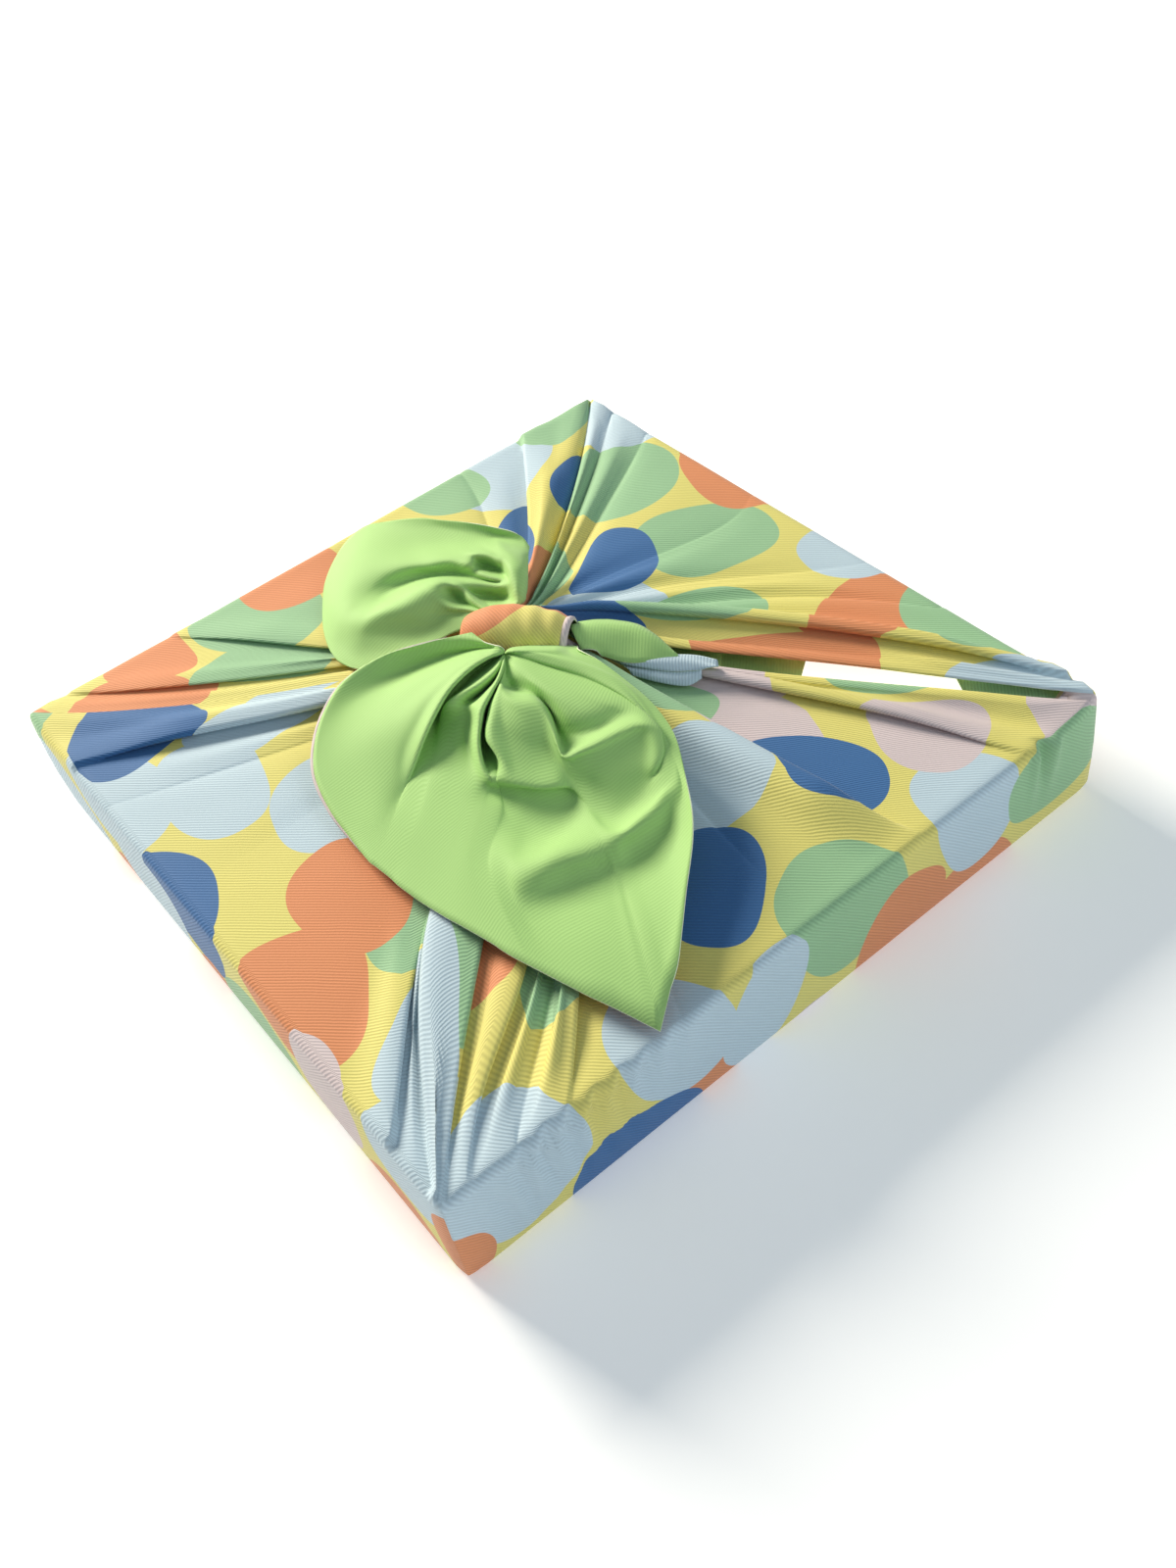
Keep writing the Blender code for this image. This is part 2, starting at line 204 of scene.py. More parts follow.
# %% The table of folds
Fold = namedtuple("Fold", "name around bearing ax ay bx by before after crown side under start hold")
FOLDS = (
    Fold("front corner crease", 0.000, 226, -50, -48, -92, -90, 3.0, 0.4, 0.8, 1, 5, 0.0, 0.5),
    Fold("front soft ridge", 0.035, 234, -50, -70, -92, -105, 3.0, 0.2, 1.4, 1, 1.5, 0.0, 0.35),
    Fold("front soft valley", 0.095, 240, -41, -68, -77, -106, 0.9, 0.9, 1.9, 0, 1.8, 0.0, 0.3),
    Fold("front right lip", 0.165, 246, -32, -62, -62, -104, 3.4, 0.0, 1.0, 1, 6, 0.0, 0.2),
    Fold("front soft fold", 0.320, 262, -14, -52, -33, -96, 0.8, 0.4, 1.0, 0, 0.6, 0.0, 0.2),
    Fold("front middle fold", 0.520, 280, 12, -48, 6, -96, 0.8, 0.4, 1.0, 0, 0.5, 0.0, 0.2),
    Fold("front panel ridge", 0.690, 306, 33, -48, 40, -92, 8.5, 0.3, 0.6, 1, 6, 0.0, 0.08),
    Fold("front panel lip", 0.868, 320, 54, -45, 76, -86, 0.4, 4.8, -1.6, -1, 6, 0.05, 0.3),
    Fold("gap near edge", 0.988, 328, 66, -47.5, 97, -89.5, 2.6, 2.6, 0.0, 2, 6, 0.0, 0.6),
    Fold("gap far edge", 1.000, 336, 75, -50, 103, -91, 4.2, 4.2, 2.0, -2, 6, 0.0, 0.9),
    Fold("right strand lip", 1.040, 356, 66, -15, 104, -70, 3.8, 8.6, 1.6, -1, 3, 0.0, 0.6),
    Fold("right strand roll", 1.090, 8, 70, -9, 107, -61, 6.4, 1.2, 0.8, 0, 0.6, 0.0, 0.4),
    Fold("right crease", 1.250, 18, 65, 3, 102, -26, 1.6, 0.5, 1.0, 0, 0.9, 0.0, 0.2),
    Fold("right fine crease", 1.390, 26, 66, 16, 100, -6, 0.8, 0.4, 1.3, 0, 0.5, 0.0, 0.15),
    Fold("back right soft fold", 1.620, 38, 66, 32, 102, 26, 0.8, 0.6, 1.4, 0, 0.4, 0.0, 0.15),
    Fold("back right valley", 1.860, 47, 70, 58, 104, 78, 0.6, 0.5, 1.6, 0, 1.2, 0.0, 0.3),
    Fold("back fourth crease", 1.945, 54, 66, 64, 98, 89, 1.4, 0.8, 1.6, 0, 1.6, 0.0, 0.5),
    Fold("back corner crease", 2.000, 64, 56, 61, 92, 92, 2.2, 2.6, 2.0, 0, 3.0, 0.0, 0.6),
    Fold("back roll lip", 2.140, 76, 50, 68, 72, 98, 4.2, 0.0, 0.8, 1, 6, 0.0, 0.5),
    Fold("back soft ridge", 2.260, 88, 38, 72, 54, 104, 0.6, 0.6, 1.0, 0, 0.9, 0.0, 0.4),
    Fold("back left soft fold", 2.500, 104, 2, 70, 4, 102, 0.6, 0.4, 1.2, 0, 0.5, 0.0, 0.2),
    Fold("left upper lip", 2.780, 128, -24, 62, -48, 96, 2.4, 0.2, 1.2, 1, 6, 0.0, 0.25),
    Fold("left second lip", 2.945, 142, -36, 64, -76, 95, 2.2, 0.4, 1.6, 1, 6, 0.0, 0.4),
    Fold("left corner", 3.000, 150, -42, 58, -88, 90, 2.6, 2.6, 1.0, 0, 0.0, 0.0, 0.5),
    Fold("left lower lip", 3.140, 160, -44, 46, -88, 71, 4.4, 0.0, 0.8, 1, 8, 0.0, 0.35),
    Fold("left soft valley", 3.240, 168, -40, 34, -84, 50, 0.8, 0.6, 0.8, 0, 0.4, 0.0, 0.2),
    Fold("front left panel", 3.450, 184, -44, 14, -88, 12, 0.2, 0.2, 0.6, 0, 0.0, 0.0, 0.1),
    Fold("front pleat", 3.911, 206, -57, -28, -100, -71, 3.0, 0.0, 1.2, 1, 4, 0.52, 0.8),
    Fold("front main lip", 3.985, 216, -56, -32, -94, -67, 0.0, 4.6, 1.6, -1, 6, 0.0, 0.6),
)
KNOT = np.array((14, 19)) * MM
KNOT_RING = 8 * MM
KNOT_RISE = 17 * MM
CLIMB = 24 * MM
EDGE_RADIUS = 2.7 * MM
TOP_ROWS = np.concatenate([np.linspace(0, 0.3, 15), np.linspace(0.3, 0.92, 24)[1:], (0.95, 0.98, 1.0)])
print(len(FOLDS), "folds,", len(TOP_ROWS), "rows over the lid")

# %% Where each fold runs
def fold_line(fold):
    """Plan points of a fold on every row: one cubic through the ring, a, b and the edge."""
    angle = math.radians(fold.bearing)
    start = KNOT + KNOT_RING * np.array((math.cos(angle), math.sin(angle)))
    passed = ((fold.ax * MM, fold.ay * MM), (fold.bx * MM, fold.by * MM))
    stops = np.array((start, *passed, edge_point(fold.around, EDGE_RADIUS)))
    t = TOP_ROWS[:, None]
    s = 3 * t
    weights = (
        -(s - 1) * (s - 2) * (s - 3) / 6,
        s * (s - 2) * (s - 3) / 2,
        -s * (s - 1) * (s - 3) / 2,
        s * (s - 1) * (s - 2) / 6,
    )
    return sum(w * p for w, p in zip(weights, stops))


RELIEF_GROWS = 0.2  # rows that a fold takes to rise from its start
HOLD_FROM = 0.72  # where the relief starts to sink to its hold at the edge


def relief(fold):
    """How much of a fold's relief there is on every row."""
    begins = 1.0 if fold.start == 0 else smooth(fold.start, fold.start + RELIEF_GROWS, TOP_ROWS)
    return begins * (1 - (1 - fold.hold) * smooth(HOLD_FROM, 1.0, TOP_ROWS))


# A turned-under lip in section: mm across the fold, share of its depth under, share of its height.
LIP_SECTION = (
    (-4.0, 0.0, 1.00),
    (-1.6, 0.0, 0.98),
    (-0.6, 0.0, 0.88),
    (0.0, 0.0, 0.66),
    (-0.4, 0.0, 0.46),
    (-1.0, -0.5, 0.34),
    (-1.2, -1.0, 0.20),
    (-0.8, -0.8, 0.04),
    (0.4, 0.0, 0.0),
    (3.5, 0.0, 0.0),
)
FLAT_SECTION = (-4.0, -1.6, -0.6, 0.0, 0.3, 0.6, 0.9, 1.2, 1.6, 3.5)  # the same lip opened out
HALF_LIP = 6  # rows of that section up to the hidden edge
CREASE_SECTION = ((-3.2, 0.10), (-1.5, 0.45), (-0.5, 0.85), (0.0, 1.0), (0.5, 0.85), (1.5, 0.45), (3.2, 0.10))
FULL_ROOM = 14 * MM  # a fold has its full width where its neighbour is this far away
LEAST_ROOM = 0.08
LIP_TURNS_IN = (0.06, 0.4)  # relief over which a lip goes from lying flat to turned under
LIP_OPENS = (0.84, 0.97)  # rows over which it opens out again, before the edge
GAP_LIP_DEPTH = 2.2


def fold_columns(fold, line, apart_before, apart_after, across):
    """The lines of the sheet at one fold: (plan points, heights, extra cloth) for each."""
    strength = relief(fold)
    room_before = np.clip(apart_before / FULL_ROOM, LEAST_ROOM, 1)
    room_after = np.clip(apart_after / FULL_ROOM, LEAST_ROOM, 1)
    columns = []
    if fold.side == 0:
        for offset, depth in CREASE_SECTION:
            room = room_before if offset < 0 else room_after
            level = fold.before if offset < 0 else fold.after
            if offset == 0:
                level = (fold.before + fold.after) / 2
            height = (level - depth * fold.under) * strength * MM
            columns.append((line + across * (offset * MM * room)[:, None], height, offset * MM * room))
        return columns
    top, bottom = max(fold.before, fold.after), min(fold.before, fold.after)
    direction = 1 if fold.side > 0 else -1
    section = LIP_SECTION if abs(fold.side) == 1 else LIP_SECTION[:HALF_LIP]
    room_top = room_before if direction > 0 else room_after
    room_low = room_after if direction > 0 else room_before
    folded = smooth(*LIP_TURNS_IN, strength) * (1 - smooth(*LIP_OPENS, TOP_ROWS))
    cut = 0.0
    last = None
    for (offset, tuck, share), flat in zip(section, FLAT_SECTION):
        room = room_top if (offset < 0 or tuck < 0) else room_low
        tucked = offset + tuck * fold.under
        shift = (flat + (tucked - flat) * folded) * MM * room
        drop = bottom if abs(fold.side) == 1 else top - GAP_LIP_DEPTH
        height = (drop + (top - drop) * share) * strength * MM
        drawn = tucked * MM * room
        if last is None:
            cut = drawn
        else:
            cut = cut + np.hypot(drawn - last[0], height - last[1])
        last = (drawn, height)
        columns.append((line + across * (direction * shift)[:, None], height, direction * cut))
    return columns if direction > 0 else columns[::-1]


RAY_SPACING = 0.024
ROLL_REACH = 15 * MM
RIPPLED_SPACING = 0.0075  # lines stand closer where small ripples run down the side
FINE_SPACING = {
    "front soft ridge": RIPPLED_SPACING,
    "front soft valley": RIPPLED_SPACING,
    "front right lip": RIPPLED_SPACING,
    "front panel lip": 0.0036,
}
FOLD_STEP = 0.0014  # how far apart a fold's own lines reach the edge, in sides
GAP_STEP = 0.0006
Line = namedtuple("Line", "around plan height index cut k")


def column_shift(fold, own, k):
    """How far along the edge a fold's own line number k stands from the fold."""
    return GAP_STEP * k if abs(fold.side) == 2 else FOLD_STEP * (k - (len(own) - 1) / 2)


def wrap_lines():
    """Every line of the sheet over the lid, from the gap's far edge anticlockwise round to its near edge."""
    lines = [fold_line(fold) for fold in FOLDS]
    count = len(FOLDS)
    columns = []
    for index, fold in enumerate(FOLDS):
        before, line, after = lines[index - 1], lines[index], lines[(index + 1) % count]
        along = np.gradient(line, axis=0)
        along /= np.linalg.norm(along, axis=1)[:, None]
        across = np.stack([-along[:, 1], along[:, 0]], axis=1)
        apart = [np.linalg.norm(line - other, axis=1) for other in (before, after)]
        columns.append(fold_columns(fold, line, *apart, across))
    first = next(index for index, fold in enumerate(FOLDS) if fold.side == -2)
    run = []
    for step_round in range(count):
        index = (first + step_round) % count
        fold, following = FOLDS[index], FOLDS[(index + 1) % count]
        around = fold.around + (4 if index < first else 0)
        own = columns[index]
        for k, (plan, height, cut) in enumerate(own):
            run.append(Line(around + column_shift(fold, own, k), plan, height, index, cut, k))
        if fold.side == 2:
            break
        next_own = columns[(index + 1) % count]
        past, short = column_shift(fold, own, len(own) - 1), column_shift(following, next_own, 0)
        around += past
        span = (following.around - fold.around) % 4 + short - past
        steps = max(2, round(span / FINE_SPACING.get(fold.name, RAY_SPACING)))
        start, end = own[-1], next_own[0]
        reach = np.clip(ROLL_REACH / np.maximum(np.linalg.norm(end[0] - start[0], axis=1), 1e-6), 0.2, 1)
        crown = fold.crown * (relief(fold) + relief(following)) / 2 * MM
        for step in range(1, steps):
            share = step / steps
            rise = start[1] * (1 - smooth(0, 1, share / reach)) + end[1] * smooth(0, 1, 1 - (1 - share) / reach)
            rise = rise + crown * 4 * share * (1 - share)
            plan = start[0] + (end[0] - start[0]) * share
            run.append(Line(around + span * share, plan, rise, index, None, 0))
    return run


wrap = wrap_lines()
print(len(wrap), "lines over the lid")

# %% [markdown]
# ## From lines to a sheet
#
# Every line goes on past the edge: round it, down the side, round the bottom edge and under
# the box to its middle. A face between two lines takes its place in the cut cloth from the side
# that it folds up from, so the print runs straight on over each edge and jumps only at a fold.

# %% The sheet's store of panels
panels = []


def add_panel(name, points, cut, print_up=True):
    """Keeps a grid of points (lines, rows, 3) with its places in the cut cloth (lines, rows, 2)."""
    panels.append((name, np.asarray(points, float), np.asarray(cut, float), print_up))


UNDER_TURNS = (90, 62, 30, 0)
TOP_TURNS = (22, 45, 68, 90)
SIDE_LEVELS = (0.80, 0.55, 0.30)
UNDER_SHARES = (0.86, 0.55, 0.25, 0.0)


# Small upright ripples on the front side: where, how far out in mm, how wide.
RIPPLES = (
    (0.085, 0.8, 0.0085), (0.101, -1.1, 0.0085), (0.117, 1.4, 0.0085), (0.133, -1.6, 0.0085), (0.149, 1.7, 0.0085),
    (0.166, -1.7, 0.0090), (0.183, 1.8, 0.0090), (0.200, -1.7, 0.0090), (0.217, 1.6, 0.0090), (0.235, -1.5, 0.0095),
    (0.253, 1.4, 0.0095), (0.271, -1.2, 0.0095), (0.290, 1.0, 0.0100), (0.310, -0.7, 0.0100), (0.330, 0.5, 0.0120),
)
RIPPLES_LEAN = 0.10
RIPPLES_GROW = (0.1, 0.9)  # levels between which they grow to their full size
DART = ((0.884, 2.2, 0.008), (0.900, -3.0, 0.009), (0.918, 2.4, 0.010))  # the pucker beside the right corner
DART_LEVEL, DART_DEPTH = 0.90, 0.22
BELLY, BELLY_WAVE, BELLY_TURNS = 0.5, 0.6, 9.0
CORNER_PULL, CORNER_WIDTH = -1.2, 0.02


def side_swell(around, level):
    """How far the side stands out at a level from 0 at the floor to 1 at the top, in mm."""
    lean = around + RIPPLES_LEAN * (1 - level)
    ripples = sum(size * hump(lean - place, width) for place, size, width in RIPPLES) * smooth(*RIPPLES_GROW, level)
    belly = BELLY * math.sin(math.pi * level) * (1 + BELLY_WAVE * math.sin(around * BELLY_TURNS))
    dart = sum(size * hump(around - place, width) for place, size, width in DART)
    dart *= hump(level - DART_LEVEL, DART_DEPTH)
    corner = CORNER_PULL * hump(around - 1.0, CORNER_WIDTH) * level
    return ripples + belly + dart + corner


CLIMB_ENDS = (0.6, 1.0)  # rows over which the rise to the knot dies away
AT_KNOT = 0.5  # share of a fold's height that is left at the knot
FULL_HEIGHT_FROM = 0.14
EDGE_EASE = 0.08  # how much lower than the top the swell is read at the end of the turn


def line_over_box(around, plan, height):
    """The whole line, from the knot to the underside's middle, and each row's reach along the cut cloth."""
    from_ring = np.maximum(np.linalg.norm(plan - KNOT, axis=1) - KNOT_RING, 0)
    climb = KNOT_RISE * np.exp(-from_ring / CLIMB) * (1 - smooth(*CLIMB_ENDS, TOP_ROWS))
    top = PARCEL_HEIGHT + height * (AT_KNOT + (1 - AT_KNOT) * smooth(0, FULL_HEIGHT_FROM, TOP_ROWS)) + climb
    points = [(x, y, z) for (x, y), z in zip(plan, top)]
    centre = edge_point(around, EDGE_RADIUS)
    out = outward(around)
    lift = height[-1]
    outs = []
    for turn in TOP_TURNS:
        angle = math.radians(turn)
        swell = side_swell(around, 1.0 - EDGE_EASE * turn / 90) * math.sin(angle) * MM
        x, y = centre + out * (EDGE_RADIUS * math.sin(angle) + swell)
        z = PARCEL_HEIGHT - EDGE_RADIUS + EDGE_RADIUS * math.cos(angle) + lift * math.cos(angle) ** 0.5
        points.append((x, y, z))
        outs.append(PARCEL_HEIGHT - EDGE_RADIUS * turn / 90)
    for level in SIDE_LEVELS:
        x, y = centre + out * (EDGE_RADIUS + side_swell(around, level) * MM)
        points.append((x, y, PARCEL_HEIGHT * level))
        outs.append(PARCEL_HEIGHT * level)
    for turn in UNDER_TURNS:
        angle = math.radians(turn)
        x, y = centre + out * EDGE_RADIUS * math.sin(angle)
        points.append((x, y, EDGE_RADIUS - EDGE_RADIUS * math.cos(angle)))
        outs.append(EDGE_RADIUS * turn / 90)
    for share in UNDER_SHARES:
        points.append((centre[0] * share, centre[1] * share, 0.0))
        outs.append(None)
    return np.array(points), outs


GATHER = 0.30  # share of the width that is drawn together at the knot
GATHER_ENDS = 0.6


def cut_places(side, around, plan, points, outs, spare):
    """Places of a line's rows in the flat cut cloth, for the panel that folds up from one side."""
    out = OUTWARD[side]
    tangent = np.array((-out[1], out[0]))
    along_edge = ((around - side) * 2 - 1) * (HALF - EDGE_RADIUS)
    gather = GATHER * (1 - smooth(0.0, GATHER_ENDS, TOP_ROWS))
    lateral = along_edge + (plan @ tangent - along_edge) * (1 - gather) + spare
    inward = HALF - plan @ out
    places = [tangent * a + out * (HALF + PARCEL_HEIGHT + b) for a, b in zip(lateral, inward)]
    for (x, y, _), reach in zip(points[len(plan) :], outs):
        if reach is None:
            places.append(np.array((x, y)))
        else:
            places.append(tangent * along_edge + out * (HALF + reach))
    return np.array(places)


# %% Lay the sheet over the box
CLOSING_IN = (0.9, 1.0)  # rows over which a line is drawn to its own place
SPARE_ENDS = (0.45, 1.0)  # rows over which the hidden cloth runs out


def closing_in(plan, around):
    """Draws a line's last rows to its own place on the edge."""
    share = smooth(*CLOSING_IN, TOP_ROWS)[:, None]
    return plan + (edge_point(around, EDGE_RADIUS) - plan[-1]) * share


def spare_cloth(lines):
    """Cloth hidden in the folds, counted along the lines."""
    hidden = start = np.zeros(len(TOP_ROWS))
    first = 0
    kept = []
    for line in lines:
        if line.cut is not None and abs(FOLDS[line.index].side) == 1:
            if line.k == 0:
                start, first = hidden, line.cut
            hidden = start + line.cut - first
        kept.append(hidden * (1 - smooth(*SPARE_ENDS, TOP_ROWS)))
    return kept


spares = spare_cloth(wrap)
laid = []
for line in wrap:
    plan = closing_in(line.plan, line.around)
    points, outs = line_over_box(line.around % 4, plan, line.height)
    laid.append((line.around, plan, points, outs))
middles = [min(range(len(laid)), key=lambda i: abs(laid[i][0] - side - 0.5)) for side in (4, 1, 2, 3)]
for i in range(len(laid) - 1):
    pair = (laid[i], laid[i + 1])
    side = int((pair[0][0] + pair[1][0]) / 2) % 4
    whole = 4 if pair[0][0] + pair[1][0] >= 8 else 0
    base = spares[middles[side]]
    cuts = [
        cut_places(side, around - whole, plan, points, outs, spares[i + step] - base)
        for step, (around, plan, points, outs) in enumerate(pair)
    ]
    add_panel("wrap", [pair[0][2], pair[1][2]], cuts)
closing = len(TOP_ROWS) - 3  # the gap closes in the last three rows before the edge
ends = (laid[-1], laid[0])
no_spare = 0 * spares[0]
cuts = [
    cut_places(0, around - whole, plan, points, outs, no_spare)[closing:]
    for (around, plan, points, outs), whole in zip(ends, (4, 0))
]
add_panel("wrap", [ends[0][2][closing:], ends[1][2][closing:]], cuts)
print(len(panels), "strips laid")

# %% [markdown]
# ## A tail
#
# A tail is a corner of the cloth that comes out of the knot and falls open like a leaf, lime
# side up. It is lofted: a smooth sheet is drawn through lines laid one by one from the pinch at
# the knot to the rim, one for each crest and valley. Where it would sink into the wrap it is
# lifted to rest on it, and between such places it hangs like a tent. The wrap that is already
# laid is kept as a tree of faces, so the height below any place can be asked for.

# %% Tools for a tail
def curve_through(points, count=60):
    """A smooth path through points, evenly spaced."""
    points = np.asarray(points, float)
    ends = (2 * points[0] - points[1], 2 * points[-1] - points[-2])
    padded = np.vstack([ends[0], points, ends[1]])
    fine = []
    for a, b, c, d in zip(padded, padded[1:], padded[2:], padded[3:]):
        for t in np.linspace(0, 1, 12, endpoint=False):
            straight = 2 * b + (c - a) * t
            fine.append(0.5 * (straight + (2 * a - 5 * b + 4 * c - d) * t**2 + (3 * b - a - 3 * c + d) * t**3))
    fine = np.array(fine + [points[-1]])
    steps = np.concatenate([[0], np.cumsum(np.linalg.norm(np.diff(fine, axis=0), axis=1))])
    even = np.linspace(0, steps[-1], count)
    return np.stack([np.interp(even, steps, fine[:, i]) for i in range(points.shape[1])], axis=1)


def eased(grid, times):
    """Evens out a grid's small steps, leaving its border where it is."""
    for _ in range(times):
        inner = grid[1:-1, 1:-1]
        around = (grid[:-2, 1:-1] + grid[2:, 1:-1] + grid[1:-1, :-2] + grid[1:-1, 2:]) / 4
        grid = grid.copy()
        grid[1:-1, 1:-1] = inner * 0.5 + around * 0.5
    return grid


def wrap_heights():
    """A tree of the wrap over the lid, to rest the tails on."""
    corners, faces = [], []
    for _, points, _, _ in panels:
        rows = points.shape[1]
        first = len(corners)
        corners.extend(points.reshape(-1, 3).tolist())
        faces.extend((first + j, first + j + 1, first + rows + j + 1, first + rows + j) for j in range(rows - 1))
    return BVHTree.FromPolygons(corners, faces)


WRAP_TREE = wrap_heights()
REST_GAP = 1.1
SOFT_TOUCH = 1.5  # mm above the wrap where a falling height starts to level out
RAY_FROM = 0.3


def above_wrap(place, height):
    """A height no lower than the wrap under a place, all in mm above the lid."""
    hit = WRAP_TREE.ray_cast(Vector((*(place * MM), RAY_FROM)), Vector((0, 0, -1)))[0]
    least = (hit.z - PARCEL_HEIGHT) / MM + REST_GAP if hit else 1.0
    if height > least + SOFT_TOUCH:
        return height
    return least + SOFT_TOUCH * math.exp((height - least - SOFT_TOUCH) / SOFT_TOUCH)
